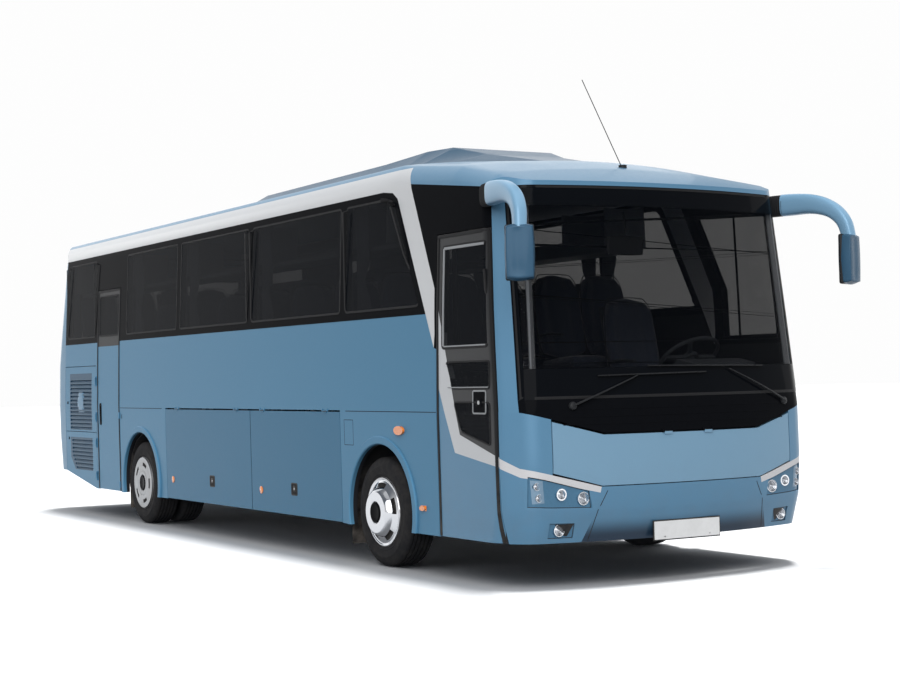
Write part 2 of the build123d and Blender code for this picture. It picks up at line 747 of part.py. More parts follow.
for low, high, top in ((*well_edges, platform_z), (*back_well_edges, deck_z)):
    side_y = half_width_at(500) - wall
    middle_y = (side_y + well_inner_y) / 2
    middle_z = (well_floor_z + top) / 2
    x_low, x_high = low + fit_gap, high - fit_gap
    end_top = top - deck_thickness - fit_gap
    # Columns: rear and front, outer and inner distance from the middle, lowest and highest
    well_plates = [
        (x_low, x_high, side_y, middle_y, well_floor_z - plate, well_floor_z),
        (x_low, x_high, middle_y + plate, middle_y, well_floor_z + fit_gap, middle_z),
        (x_low, x_high, middle_y - fit_gap, well_inner_y, middle_z - plate, middle_z),
        (x_low, x_high, well_inner_y + plate, well_inner_y, middle_z + fit_gap, top),
        (low - plate, low, side_y, well_inner_y, well_floor_z - plate, end_top),
        (high, high + plate, side_y, well_inner_y, well_floor_z - plate, end_top),
    ]
    for rear, front, outboard, inboard, low_z, high_z in well_plates:
        with BuildPart() as well:
            add(box_between((ahead(rear), -outboard, low_z), (ahead(front), -inboard, high_z)))
            add(well_space, mode=Mode.INTERSECT)
        wells.append(well.part)
finish("floor", *slabs, *wells)

# Chassis: two rails with lifting pads, cross members and outriggers under the deck
rail_y, rail_width, rail_low_z, rail_high_z = 430, 70, 620, 800
rail_rear, rail_front = -7250, 1560
member_places = [-5300, -4200, -3300, -2215, -1300, -640]
chassis = []
for side in (-1, 1):
    chassis.append(box_between(
        (ahead(rail_rear), side * rail_y - rail_width / 2, rail_low_z),
        (ahead(rail_front), side * rail_y + rail_width / 2, rail_high_z),
    ))
member_y = rail_y - rail_width / 2 - fit_gap
for x in member_places:
    chassis.append(box_between((ahead(x - 30), -member_y, rail_low_z + 30), (ahead(x + 30), member_y, rail_high_z)))
    for side in (-1, 1):
        low, high = sorted((side * (rail_y - rail_width / 2), side * 1130))
        chassis.append(box_between(
            (ahead(x - 30), low, rail_high_z + fit_gap), (ahead(x + 30), high, deck_z - deck_thickness - fit_gap),
        ))
for low, high, half in ((rail_front + fit_gap, rail_front + 60, 540), (-7300, rail_rear - fit_gap, 700)):
    chassis.append(box_between((ahead(low), -half, rail_low_z), (ahead(high), half, rail_high_z)))
pad_places, pad_half_length, pad_low_z = [700, -4200], 60, 600
for x in pad_places:
    for side in (-1, 1):
        chassis.append(box_between(
            (ahead(x - pad_half_length), side * rail_y - rail_width / 2, pad_low_z),
            (ahead(x + pad_half_length), side * rail_y + rail_width / 2, rail_low_z - fit_gap),
        ))
finish("chassis", *chassis)

# Luggage bays: one open tray on each side between the axles
bay_floor_z, bay_inner_y, sheet = 305, 500, 12
bays = []
for side in (-1, 1):
    outer_y = half_width_at(bay_floor_z) - wall - joint_gap
    rear, front = flap_edges[0][0] + 20, flap_edges[1][1] - 20
    # Columns: rear and front, inner and outer distance from the middle, lowest and highest
    bay_sheets = [
        (rear, front, bay_inner_y, outer_y, bay_floor_z - sheet, bay_floor_z - fit_gap),
        (rear, front, bay_inner_y, bay_inner_y + sheet, bay_floor_z, rail_high_z),
    ]
    for x in (rear, -2221, front - sheet):
        bay_sheets.append((x, x + sheet, bay_inner_y + sheet + fit_gap, outer_y, bay_floor_z, rail_high_z))
    for x_low, x_high, inboard, outboard, z_low, z_high in bay_sheets:
        low, high = sorted((side * inboard, side * outboard))
        bays.append(box_between((ahead(x_low), low, z_low), (ahead(x_high), high, z_high)))
finish("luggage_bays", *bays)

# Wheel housings behind the arches: flat plates round the wheel and a back plate
housings = []
housing_step, skin = 22.5, 8
for side in (-1, 1):
    for centre, radius, inner_y in ((0, liner_radius, 605), (-wheelbase, rear_liner_radius, 650)):
        outer_y = half_width_at(tyre_radius) - wall - 1
        plane = Plane(origin=(ahead(centre), side * inner_y, tyre_radius), x_dir=(1, 0, 0), z_dir=(0, side, 0))
        with BuildPart() as back:
            with BuildSketch(plane) as disc:
                Circle(radius + skin / 2)
            extrude(disc.sketch, amount=skin)
            split(bisect_by=Plane.XY.offset(tyre_radius + 150), keep=Keep.TOP)
        housings.append(back.part)
        low, high = sorted((side * (inner_y + skin + fit_gap), side * outer_y))
        half_plate = radius * sin(radians(housing_step / 2)) / cos(radians(housing_step / 2)) - fit_gap
        for x in (centre - radius - skin, centre + radius):
            housings.append(box_between(
                (ahead(x), low, tyre_radius - 60), (ahead(x + skin), high, tyre_radius + half_plate),
            ))
        for number in range(1, 8):
            angle = radians(number * housing_step)
            middle = (ahead(centre) + (radius + skin / 2) * cos(angle), tyre_radius + (radius + skin / 2) * sin(angle))
            panel = Plane(
                origin=(middle[0], (low + high) / 2, middle[1]), x_dir=(0, 1, 0), z_dir=(cos(angle), 0, sin(angle)),
            )
            with BuildPart(panel) as plating:
                Box(high - low, 2 * half_plate, skin)
            housings.append(plating.part)
finish("wheel_housings", *housings)

# Mud flaps behind the wheels
mudflaps = []
for side in (-1, 1):
    for centre, radius, inner_y in ((0, liner_radius, 930), (-wheelbase, rear_liner_radius, 700)):
        x = ahead(centre - radius - 8 - 8 - fit_gap)
        low, high = sorted((side * inner_y, side * (half_width_at(tyre_radius) - wall - 8)))
        mudflaps.append(box_between((x, low, 120), (x + 8, high, 430)))
finish("mud_flaps", *mudflaps)


# Wheels
def wheel_plane(centre, side):
    """Radial direction along X, outboard along Y."""
    return Plane(origin=centre, x_dir=(1, 0, 0), z_dir=(0, 0, side))


def revolved(plane, points, centre):
    """A closed profile of radius and outboard offset, turned about the wheel's axle."""
    with BuildPart() as turned:
        with BuildSketch(plane) as profile:
            with BuildLine():
                Polyline(*points, close=True)
            make_face()
        revolve(profile.sketch, axis=Axis(centre, (0, 1, 0)))
    return turned.part


def tyre(centre, side):
    """A tyre with bulging sidewalls and a flat tread."""
    half = tyre_width / 2
    with BuildPart() as ring:
        with BuildSketch(wheel_plane(centre, side)) as profile:
            with BuildLine():
                Line((rim_radius, -half + 22), (rim_radius, half - 22))
                ThreePointArc((rim_radius, half - 22), (305, half), (350, half - 8))
                ThreePointArc((350, half - 8), (372, half - 18), (tyre_radius, half - 42))
                Line((tyre_radius, half - 42), (tyre_radius, -half + 42))
                ThreePointArc((tyre_radius, -half + 42), (372, -half + 18), (350, -half + 8))
                ThreePointArc((350, -half + 8), (305, -half), (rim_radius, -half + 22))
            make_face()
        revolve(profile.sketch, axis=Axis(centre, (0, 1, 0)))
    return ring.part


# How far the hub covers stand outboard of the tyre's middle: bell-shaped in front, flat at the rear
cover_out, rear_cover_out = 175, 123
spindle_radius = 36
rim_skin = 8
rim_outer = rim_radius - fit_gap

for side, word in ((-1, "right"), (1, "left")):
    centre = (front_axle_x, side * front_wheel_y, tyre_radius)
    plane = wheel_plane(centre, side)
    finish(f"front_tyre_{word}", tyre(centre, side))
    rim = revolved(plane, [
        (0, cover_out), (140, cover_out), (150, cover_out - 7), (166, cover_out - 23), (185, 132), (205, 119),
        (224, 113), (237, 113), (238, 109), (224, 109), (204, 115), (182, 128), (162, cover_out - 26),
        (147, cover_out - 12), (138, cover_out - 5), (80, cover_out - 5), (66, 84), (84, 60), (104, 52), (176, 40),
        (206, 58), (222, 94), (242, 110), (243, 106),
        (rim_outer, 97), (rim_outer, -95), (rim_outer - rim_skin, -95), (rim_outer - rim_skin - 4, 20), (176, 26),
        (90, 36), (90, -40), (spindle_radius + 1, -40), (spindle_radius + 1, 40), (0, 40),
    ], centre)
    finish(f"front_wheel_{word}", rim)

rear_outer_y = wheel_face_y - tyre_width / 2
rear_inner_y = rear_outer_y - tyre_width - twin_gap
for side, word in ((-1, "right"), (1, "left")):
    outer_centre = (rear_axle_x, side * rear_outer_y, tyre_radius)
    inner_centre = (rear_axle_x, side * rear_inner_y, tyre_radius)
    finish(f"rear_tyres_{word}", tyre(outer_centre, side), tyre(inner_centre, side))
    inner_shift = rear_outer_y - rear_inner_y
    rim = revolved(wheel_plane(outer_centre, side), [
        (0, rear_cover_out), (236, rear_cover_out - 2), (238, rear_cover_out - 6), (78, rear_cover_out - 5), (70, 40),
        (92, 24), (110, 2), (160, 10), (204, 60), (222, 94), (242, 110), (243, 106), (rim_outer, 97),
        (rim_outer, -95), (rim_outer - rim_skin, -95), (rim_outer - rim_skin - 4, 40), (190, 28), (155, -6),
        (110, -14), (110, -inner_shift + 20), (rim_outer - rim_skin - 4, -inner_shift + 20),
        (rim_outer - rim_skin, -inner_shift + 95), (rim_outer, -inner_shift + 95), (rim_outer, -inner_shift - 95),
        (rim_outer - rim_skin, -inner_shift - 95), (rim_outer - rim_skin, -inner_shift + 4), (90, -inner_shift + 4),
        (90, -20), (spindle_radius + 1, -20), (spindle_radius + 1, -10), (0, -10),
    ], outer_centre)
    finish(f"rear_wheels_{word}", rim)

# Steering knuckles: a yoke round the beam's eye, with the stub axle
eye_half, eye_radius, kingpin_radius = 55, 48, 20
lug_thickness = 28
for side, word in ((-1, "right"), (1, "left")):
    pivot = (front_axle_x, side * kingpin_y)
    low_z, high_z = tyre_radius - eye_half, tyre_radius + eye_half
    with BuildPart() as knuckle:
        for z in (low_z - 1 - lug_thickness, high_z + 1):
            with BuildSketch(Plane.XY.offset(z)) as lug:
                with Locations(pivot):
                    Circle(42)
                with Locations((front_axle_x, side * (kingpin_y + 36))):
                    Rectangle(84, 72)
            extrude(lug.sketch, amount=lug_thickness)
        with BuildSketch(Plane.XY.offset(low_z - 1 - lug_thickness)) as web:
            with Locations((front_axle_x, side * (kingpin_y + 62))):
                Rectangle(84, 20)
        extrude(web.sketch, amount=2 * (eye_half + 1 + lug_thickness))
        with BuildSketch(Plane.XY.offset(low_z - 1 - lug_thickness)) as pin:
            with Locations(pivot):
                Circle(kingpin_radius)
        extrude(pin.sketch, amount=2 * (eye_half + 1 + lug_thickness))
        with BuildSketch(Plane(origin=(front_axle_x, side * (kingpin_y + 60), tyre_radius), z_dir=(0, side, 0))) as stub:
            Circle(spindle_radius)
        extrude(stub.sketch, amount=front_wheel_y + 38 - kingpin_y - 60)
        with BuildSketch(Plane(origin=(front_axle_x, side * (kingpin_y + 60), tyre_radius), z_dir=(0, side, 0))) as drum:
            Circle(150)
            Circle(spindle_radius, mode=Mode.SUBTRACT)
        extrude(drum.sketch, amount=60)
    finish(f"knuckle_{word}", knuckle.part)

# Axles: a dropped front beam with an eye at each end, and the driven rear housing
beam_z, beam_half = tyre_radius - 70, 38
with BuildPart() as axles:
    add(box_between(
        (front_axle_x - 45, -kingpin_y + 110, beam_z - beam_half), (front_axle_x + 45, kingpin_y - 110, beam_z + beam_half),
    ))
    for side in (-1, 1):
        low, high = sorted((side * (kingpin_y - 130), side * (kingpin_y - 52)))
        add(box_between((front_axle_x - 40, low, beam_z - beam_half), (front_axle_x + 40, high, tyre_radius + eye_half)))
        low, high = sorted((side * (kingpin_y - 60), side * (kingpin_y - 30)))
        add(box_between(
            (front_axle_x - 32, low, tyre_radius - eye_half), (front_axle_x + 32, high, tyre_radius + eye_half),
        ))
        with BuildSketch(Plane.XY.offset(tyre_radius - eye_half)) as eye:
            with Locations((front_axle_x, side * kingpin_y)):
                Circle(eye_radius)
        extrude(eye.sketch, amount=2 * eye_half)
    for side in (-1, 1):
        with BuildSketch(Plane.XY.offset(tyre_radius - eye_half - 5)) as hole:
            with Locations((front_axle_x, side * kingpin_y)):
                Circle(kingpin_radius + 1)
        extrude(hole.sketch, amount=2 * eye_half + 10, mode=Mode.SUBTRACT)
with BuildPart() as rear_axle:
    with BuildSketch(Plane(origin=(rear_axle_x, 0, tyre_radius), z_dir=(0, 1, 0))) as tube:
        Circle(spindle_radius)
    extrude(tube.sketch, amount=rear_outer_y - 25, both=True)
    with BuildSketch(Plane(origin=(rear_axle_x, 0, tyre_radius), z_dir=(0, 1, 0))) as housing:
        Circle(80)
    extrude(housing.sketch, amount=rear_inner_y - 125, both=True)
    with Locations((rear_axle_x, 0, tyre_radius)):
        Sphere(190)
finish("axles", axles.part, rear_axle.part)

# Air springs between the axles and the rails
springs = []
for side in (-1, 1):
    for x, top in ((front_axle_x, beam_z + beam_half), (rear_axle_x, tyre_radius + 80)):
        centre = (x, side * rail_y)
        with BuildPart() as spring:
            with BuildSketch(Plane(origin=(x, side * rail_y, 0), x_dir=(1, 0, 0), z_dir=(0, -1, 0))) as profile:
                with BuildLine():
                    low, high = top + fit_gap, rail_low_z - fit_gap
                    middle = (low + high) / 2
                    Line((0, low), (70, low))
                    ThreePointArc((70, low), (105, (low + middle) / 2), (80, middle))
                    ThreePointArc((80, middle), (105, (high + middle) / 2), (70, high))
                    Polyline((70, high), (0, high), (0, low))
                make_face()
            revolve(profile.sketch, axis=Axis((x, side * rail_y, 0), (0, 0, 1)))
        springs.append(spring.part)
finish("air_springs", *springs)

# Engine block, gearbox and shaft to the rear axle
with BuildPart() as powertrain:
    add(box_between((ahead(-7180), -380, 480), (ahead(-6250), 380, 1230)))
    for x in (-7100, -6380):
        add(box_between((ahead(x), -395, 660), (ahead(x + 60), 395, 740)))
    add(box_between((ahead(-6250), -190, 460), (ahead(-5650), 190, 860)))
    with BuildSketch(Plane(origin=(ahead(-5650), 0, 560), z_dir=(850 - 190 - 5, 0, tyre_radius - 560))) as shaft:
        Circle(45)
    extrude(shaft.sketch, amount=640)
powertrain_part = powertrain.part - rear_axle.part
finish("powertrain", sorted(powertrain_part.solids(), key=lambda s: -s.volume)[0])

# Seats: plain closed forms for each pair, the rear bench and the driver's seat
cushion_profile = [(-30, 330), (430, 350), (455, 400), (450, 450), (90, 425), (-40, 414)]
back_profile = [(-40, 414.4), (90, 425.4), (-60, 1060), (-120, 1085), (-165, 1050)]


def seat(x, y_low, y_high, base_z, floor_z):
    """A seat facing forward: cushion with its rear corner at x, back and pedestal."""
    forms = []
    for points in (cushion_profile, back_profile):
        with BuildPart() as form:
            with BuildSketch(Plane.XZ.offset(-y_high)) as profile:
                with BuildLine():
                    Polyline(*[(ahead(x) + a, base_z + b) for a, b in points], close=True)
                make_face()
            extrude(profile.sketch, amount=y_high - y_low)
        forms.append(form.part)
    middle = (y_low + y_high) / 2
    forms.append(box_between((ahead(x) + 60, middle - 60, floor_z), (ahead(x) + 340, middle + 60, base_z + 333.6)))
    return forms


seat_pitch, seat_rows_right, seat_rows_left = 760, 7, 8
seats = []
for row in range(seat_rows_left):
    if row < seat_rows_right:
        seats += seat(-130 - seat_pitch * row, -1070, -230, deck_z, deck_z)
    seats += seat(-130 - seat_pitch * row, 230, 1070, deck_z, deck_z)
seats += seat(-6900, -1090, 1090, rear_deck_z - 80, rear_deck_z)
seats += seat(510, 400, 880, platform_z - 60, platform_z)
finish("seats", *seats)

# Overhead racks with brackets at the pillars and the curtain rail
rack_low_z, rack_inner_y, rack_outer_y, rail_z = 2230, 720, 1050, 2565
racks = []
shelf_z, lip_y = rack_low_z + 35, rack_inner_y + 30
# Columns: inner and outer distance from the middle, lowest and highest
rack_lengths = [
    (rack_inner_y, rack_outer_y, rack_low_z, shelf_z),
    (rack_inner_y, lip_y, shelf_z + fit_gap, rack_low_z + 110),
    (1080, 1100, rail_z, rail_z + 20),
]
for side in (-1, 1):
    for inboard, outboard, z_low, z_high in rack_lengths:
        low, high = sorted((side * inboard, side * outboard))
        racks.append(box_between((ahead(-6900), low, z_low), (ahead(60), high, z_high)))
    for x in [-6890] + pillars + [30]:
        low, high = sorted((side * (lip_y + fit_gap), side * 1300))
        with BuildPart() as bracket:
            add(box_between((ahead(x - 10), low, shelf_z + fit_gap), (ahead(x + 10), high, rail_z - fit_gap)))
            add(liner, mode=Mode.INTERSECT)
        racks.append(bracket.part)
finish("overhead_racks", *racks)

# Curtains drawn back beside the pillars
curtain_y, curtain_thickness, curtain_width = 1085, 12, 190
curtains = []
for side in (-1, 1):
    for x in pillars:
        low, high = sorted((side * curtain_y, side * (curtain_y + curtain_thickness)))
        for edge in (x - pillar_half - curtain_width, x + pillar_half):
            curtains.append(box_between((ahead(edge), low, 1800), (ahead(edge + curtain_width), high, rail_z - fit_gap)))
finish("curtains", *curtains)

# Dashboard with the driver's binnacle
with BuildPart() as dashboard:
    with BuildSketch(Plane.XZ.offset(-1000)) as profile:
        with BuildLine():
            Polyline(*[(ahead(x), z) for x, z in (
                (1690, 860), (1400, 860), (1330, 1180), (1380, 1290), (1560, 1330), (1700, 1300),
            )], close=True)
        make_face()
    extrude(profile.sketch, amount=1500)
    with BuildSketch(Plane.XZ.offset(-880)) as hump:
        with BuildLine():
            Polyline(*[(ahead(x), z) for x, z in (
                (1560, 1310), (1560, 1370), (1400, 1400), (1270, 1300), (1260, 1180), (1400, 1180),
            )], close=True)
        make_face()
    extrude(hump.sketch, amount=540)
    add(liner, mode=Mode.INTERSECT)
    add(box_between((ahead(1300), -1300, 0), (ahead(1700), 1300, platform_z)), mode=Mode.SUBTRACT)
finish("dashboard", dashboard.part)

# Steering wheel and column
with BuildPart() as steering:
    wheel_centre = (ahead(1150), 640, 1420)
    tilt = Plane(origin=wheel_centre, x_dir=(0, 1, 0), z_dir=(-sin(radians(35)), 0, cos(radians(35))))
    with BuildSketch(Plane(origin=wheel_centre, x_dir=(0, 1, 0), z_dir=tuple(tilt.x_dir.cross(tilt.z_dir)))) as ring:
        with Locations((215, 0)):
            Circle(13)
    revolve(ring.sketch, axis=Axis(wheel_centre, tuple(tilt.z_dir)))
    with BuildSketch(tilt) as spokes:
        Rectangle(430, 36)
        Circle(52)
    extrude(spokes.sketch, amount=-24)
    with BuildSketch(tilt) as column:
        Circle(30)
    extrude(column.sketch, amount=-330)
    add(dashboard.part, mode=Mode.SUBTRACT)
finish("steering_wheel", sorted(steering.part.solids(), key=lambda s: -s.volume)[0])

# Roof unit: a long fairing with a raised front and a low lobe
# Columns: distance ahead of the front axle, half width at the roof, half width on top, top height
unit_sections = [
    (-3360, 760, 720, 2845), (-3050, 760, 640, 2930), (-900, 760, 620, 2945), (-420, 745, 520, 2990),
    (-200, 735, 430, 2998), (120, 640, 330, 2915), (700, 320, 250, 2800),
]
with BuildPart() as unit:
    sections = []
    for distance, base, top, z in unit_sections:
        with BuildSketch(Plane.YZ.offset(ahead(distance))) as section:
            with BuildLine():
                Polyline((-base, 2700), (-base, min(2840, z - 20)), (-top, z), (top, z), (base, min(2840, z - 20)),
                         (base, 2700), close=True)
            make_face()
        sections.append(section.sketch)
    loft(sections, ruled=True)
    add(body_clear, mode=Mode.SUBTRACT)
finish("air_conditioner", sorted(unit.part.solids(), key=lambda s: -s.volume)[0])

# Aerial on the front of the roof
aerial_x, aerial_tip_x, aerial_tip_z = 1300, 850, 3355
aerial_base_z = 2680
lean = (aerial_tip_x - aerial_x, 0, aerial_tip_z - aerial_base_z)
length = sqrt(lean[0] ** 2 + lean[2] ** 2)
with BuildPart() as aerial:
    with BuildSketch(Plane.XY.offset(aerial_base_z - 20)) as foot:
        with Locations((ahead(aerial_x), 0)):
            Circle(28)
    extrude(foot.sketch, amount=48)
    with BuildSketch(Plane(origin=(ahead(aerial_x), 0, aerial_base_z), z_dir=lean)) as rod:
        Circle(3)
    extrude(rod.sketch, amount=length)
    add(body_clear, mode=Mode.SUBTRACT)
finish("aerial", sorted(aerial.part.solids(), key=lambda s: -s.volume)[0])

# Mirrors on horn-shaped arms that taper from their boots at the roof's corners
# Columns: distance ahead of the front axle, y, z, fall from level in degrees, height, width
mirror_arm = [
    (1380, 1150, 2450, 0, 150, 92), (1600, 1205, 2450, 0, 150, 92), (1790, 1242, 2436, 12, 132, 90),
    (1935, 1272, 2384, 42, 112, 88), (2018, 1297, 2300, 70, 98, 84), (2045, 1312, 2195, 88, 88, 78),
]
mirror_arm_yaw = 0.19
mirror_head = (2047, 1315, 2046)
head_size = (90, 175, 335)
mirrors = []
for side, turn in ((-1, -33), (1, 23)):
    with BuildPart() as arm:
        sections = []
        for x, y, z, fall, high, wide in mirror_arm:
            level, drop = cos(radians(fall)), sin(radians(fall))
            plane = Plane(
                origin=(ahead(x), side * y, z), x_dir=(-side * mirror_arm_yaw, 1, 0),
                z_dir=(level, side * mirror_arm_yaw * level, -drop),
            )
            with BuildSketch(plane) as section:
                RectangleRounded(wide, high, 30)
            sections.append(section.sketch)
        loft(sections, ruled=True)
        x, y, z = mirror_head
        foot = Plane(origin=(ahead(x), side * y, z - head_size[2] / 2)).rotated((0, 0, turn))
        with BuildSketch(foot) as head:
            RectangleRounded(head_size[0], head_size[1], 28)
        extrude(head.sketch, amount=head_size[2])
        add(body_clear, mode=Mode.SUBTRACT)
    mirrors.append(sorted(arm.part.solids(), key=lambda s: -s.volume)[0])

# Wipers parked along the foot of the windscreen
# Columns: pivot y, pivot z, tip y, tip z, blade start y, blade end y, blade z
wiper_places = [(-816, 1118, -368, 1297, -637, 171, 1300), (899, 1108, 371, 1328, 699, -281, 1345)]


def glass_point(y, z, out):
    """A point in front of the nose surface."""
    return (nose_at(z) - bow(y) + out, y, z)


wipers = []
for pivot_y, pivot_z, tip_y, tip_z, blade_start, blade_end, blade_z in wiper_places:
    with BuildPart() as wiper:
        pivot = glass_point(pivot_y, pivot_z, 22)
        tip = glass_point(tip_y, tip_z, 26)
        with BuildSketch(Plane.YZ.offset(pivot[0] - 40)) as boss:
            with Locations((pivot_y, pivot_z)):
                Circle(18)
        extrude(boss.sketch, amount=46)
        for start, end, width in ((pivot, tip, 14), (glass_point(blade_start, blade_z, 24), glass_point((blade_start + blade_end) / 2, blade_z, 24), 10), (glass_point((blade_start + blade_end) / 2, blade_z, 24), glass_point(blade_end, blade_z, 24), 10)):
            direction = Vector(*end) - Vector(*start)
            with BuildSketch(Plane(origin=start, z_dir=direction)) as bar:
                Circle(width / 2)
            extrude(bar.sketch, amount=direction.length)
            with Locations(start, end):
                Sphere(width / 2)
        add(body_clear, mode=Mode.SUBTRACT)
    wipers.append(sorted(wiper.part.solids(), key=lambda s: -s.volume)[0])
finish("wipers", *wipers)

# Side marker lamps on the fixed panels
markers = []
for side in (-1, 1):
    for x, z, length_x, height_z in ((626, 443, 70, 34), (324, 956, 130, 62)):
        face_y = half_width_at(z)
        with BuildPart() as marker:
            with BuildSketch(Plane(origin=(ahead(x), side * (face_y - 5), z), x_dir=(1, 0, 0), z_dir=(0, side, 0))) as oval:
                Ellipse(length_x / 2, height_z / 2)
            extrude(oval.sketch, amount=22)
            add(body_clear, mode=Mode.SUBTRACT)
        markers.append(sorted(marker.part.solids(), key=lambda s: -s.volume)[0])
finish("side_markers", *markers)

# Interior mirror hung from the front of the roof
with BuildPart() as inside_mirror:
    add(box_between((ahead(1480), -290, 2085), (ahead(1510), 10, 2215)))
    add(box_between((ahead(1488), -155, 2200), (ahead(1502), -125, 2620)))
    add(liner, mode=Mode.INTERSECT)
finish("mirrors", *mirrors, inside_mirror.part)

# Export
os.makedirs("parts", exist_ok=True)
for name, part in parts.items():
    export_step(part, f"parts/{name}.step")
print(len(parts), "sub-parts; front axle at", front_axle_x, "nose", nose_x, "tail", tail_x)
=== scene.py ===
import bpy, bmesh, math
from mathutils import Vector, Matrix
from mathutils.bvhtree import BVHTree


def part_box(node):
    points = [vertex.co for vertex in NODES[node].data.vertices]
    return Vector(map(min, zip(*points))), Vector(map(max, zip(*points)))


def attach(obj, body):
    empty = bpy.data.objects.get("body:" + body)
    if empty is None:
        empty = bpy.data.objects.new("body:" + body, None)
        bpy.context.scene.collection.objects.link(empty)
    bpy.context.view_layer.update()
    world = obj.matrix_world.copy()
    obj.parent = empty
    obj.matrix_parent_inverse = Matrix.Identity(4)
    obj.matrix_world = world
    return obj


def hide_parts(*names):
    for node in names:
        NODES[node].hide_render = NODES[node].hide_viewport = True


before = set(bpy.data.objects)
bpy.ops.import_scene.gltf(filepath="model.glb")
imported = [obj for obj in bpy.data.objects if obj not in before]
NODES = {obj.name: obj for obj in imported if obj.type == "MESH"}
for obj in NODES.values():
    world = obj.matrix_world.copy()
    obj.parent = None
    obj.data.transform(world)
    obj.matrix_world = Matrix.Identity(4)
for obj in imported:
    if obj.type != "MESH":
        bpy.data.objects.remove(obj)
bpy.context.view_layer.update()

FRONT_AXLE = 2.6625     # x in the shared frame; every other x below is metres ahead of it
REAR_AXLE = -4.8
TYRE_RADIUS = 0.382
HUB_Z = TYRE_RADIUS
SIDES = ((-1, "right"), (1, "left"))


def at(x):
    """X of a place given in metres ahead of the front axle."""
    return FRONT_AXLE + x


# Materials

def tree_of(name):
    mat = bpy.data.materials.new(name)
    mat.use_nodes = True
    tree = mat.node_tree
    tree.nodes.clear()
    out = tree.nodes.new("ShaderNodeOutputMaterial")
    shader = tree.nodes.new("ShaderNodeBsdfPrincipled")
    tree.links.new(shader.outputs[0], out.inputs[0])
    return mat, tree, shader


def node(tree, kind, inputs=None, **props):
    n = tree.nodes.new(kind)
    for k, v in props.items():
        setattr(n, k, v)
    for k, v in (inputs or {}).items():
        if isinstance(v, bpy.types.NodeSocket):
            tree.links.new(v, n.inputs[k])
        else:
            n.inputs[k].default_value = v
    return n


def coords(tree):
    return node(tree, "ShaderNodeTexCoord").outputs["Object"]


def math_node(tree, op, a, b=0.0, clamp=False):
    return node(tree, "ShaderNodeMath", {0: a, 1: b}, operation=op, use_clamp=clamp).outputs[0]


def ramp(tree, fac, stops):
    n = node(tree, "ShaderNodeValToRGB", {0: fac})
    while len(n.color_ramp.elements) < len(stops):
        n.color_ramp.elements.new(0.5)
    for e, (p, c) in zip(n.color_ramp.elements, stops):
        e.position = p
        e.color = (*c, 1) if len(c) == 3 else c
    return n.outputs[0]


def mix(tree, fac, a, b, mode="MIX"):
    n = tree.nodes.new("ShaderNodeMix")
    n.data_type = "RGBA"
    n.blend_type = mode
    for sock, v in ((n.inputs[0], fac), (n.inputs[6], a), (n.inputs[7], b)):
        if isinstance(v, bpy.types.NodeSocket):
            tree.links.new(v, sock)
        elif sock == n.inputs[0]:
            sock.default_value = v
        else:
            sock.default_value = (*v, 1)
    return n.outputs[2]


def noise(tree, scale, detail=3.0, rough=0.5, vector=None):
    n = node(tree, "ShaderNodeTexNoise", {"Vector": vector or coords(tree), "Scale": scale, "Detail": detail,
                                          "Roughness": rough})
    return n.outputs["Fac"]


def bump(tree, height, strength, distance=0.001):
    return node(tree, "ShaderNodeBump", {"Height": height, "Strength": strength, "Distance": distance}).outputs[0]


def smooth_range(tree, value, low, high):
    """0 at low, 1 at high, eased between; low may lie above high."""
    return node(tree, "ShaderNodeMapRange", {0: value, 1: low, 2: high}, interpolation_type="SMOOTHSTEP").outputs[0]


def place_xyz(tree):
    """Object coordinates as three separate values."""
    return node(tree, "ShaderNodeSeparateXYZ", {0: coords(tree)}).outputs


def times(tree, a, b):
    return math_node(tree, "MULTIPLY", a, b)


def plus(tree, a, b, clamp=False):
    return math_node(tree, "ADD", a, b, clamp)


def minus(tree, a, b):
    return math_node(tree, "SUBTRACT", a, b)


def larger(tree, a, b):
    return math_node(tree, "MAXIMUM", a, b)


def absolute(tree, a):
    return math_node(tree, "ABSOLUTE", a)


# Road film starts at FILM_TOP and is full at FILM_FULL; BLUR is half the soft edge of a painted line
FILM_TOP, FILM_FULL = 0.95, 0.2
BLUR = 0.0006
INNER_FACE, JOINT_BLACK = (0.022, 0.023, 0.026), (0.006, 0.007, 0.009)
BLUE_LIGHT, BLUE_DARK = (0.118, 0.270, 0.415), (0.078, 0.195, 0.312)
SILVER_LIGHT, SILVER_DARK = (0.66, 0.67, 0.68), (0.48, 0.49, 0.50)


def grime_group():
    """Mask of road film: 0 clean to 1, strongest near the ground and in the noise's hollows."""
    g = bpy.data.node_groups.new("road_film", "ShaderNodeTree")
    g.interface.new_socket("Amount", in_out="INPUT", socket_type="NodeSocketFloat")
    g.interface.new_socket("Mask", in_out="OUTPUT", socket_type="NodeSocketFloat")
    src = g.nodes.new("NodeGroupInput")
    out = g.nodes.new("NodeGroupOutput")
    where = coords(g)
    z = node(g, "ShaderNodeSeparateXYZ", {0: where}).outputs[2]
    low = smooth_range(g, z, FILM_TOP, FILM_FULL)
    spots = noise(g, 9.0, 6.0, 0.65, where)
    body = times(g, low, ramp(g, spots, [(0.35, (0, 0, 0)), (0.75, (1, 1, 1))]))
    g.links.new(times(g, body, src.outputs[0]), out.inputs[0])
    return g


GRIME = grime_group()


def grime(tree, amount):
    n = tree.nodes.new("ShaderNodeGroup")
    n.node_tree = GRIME
    n.inputs[0].default_value = amount
    return n.outputs[0]


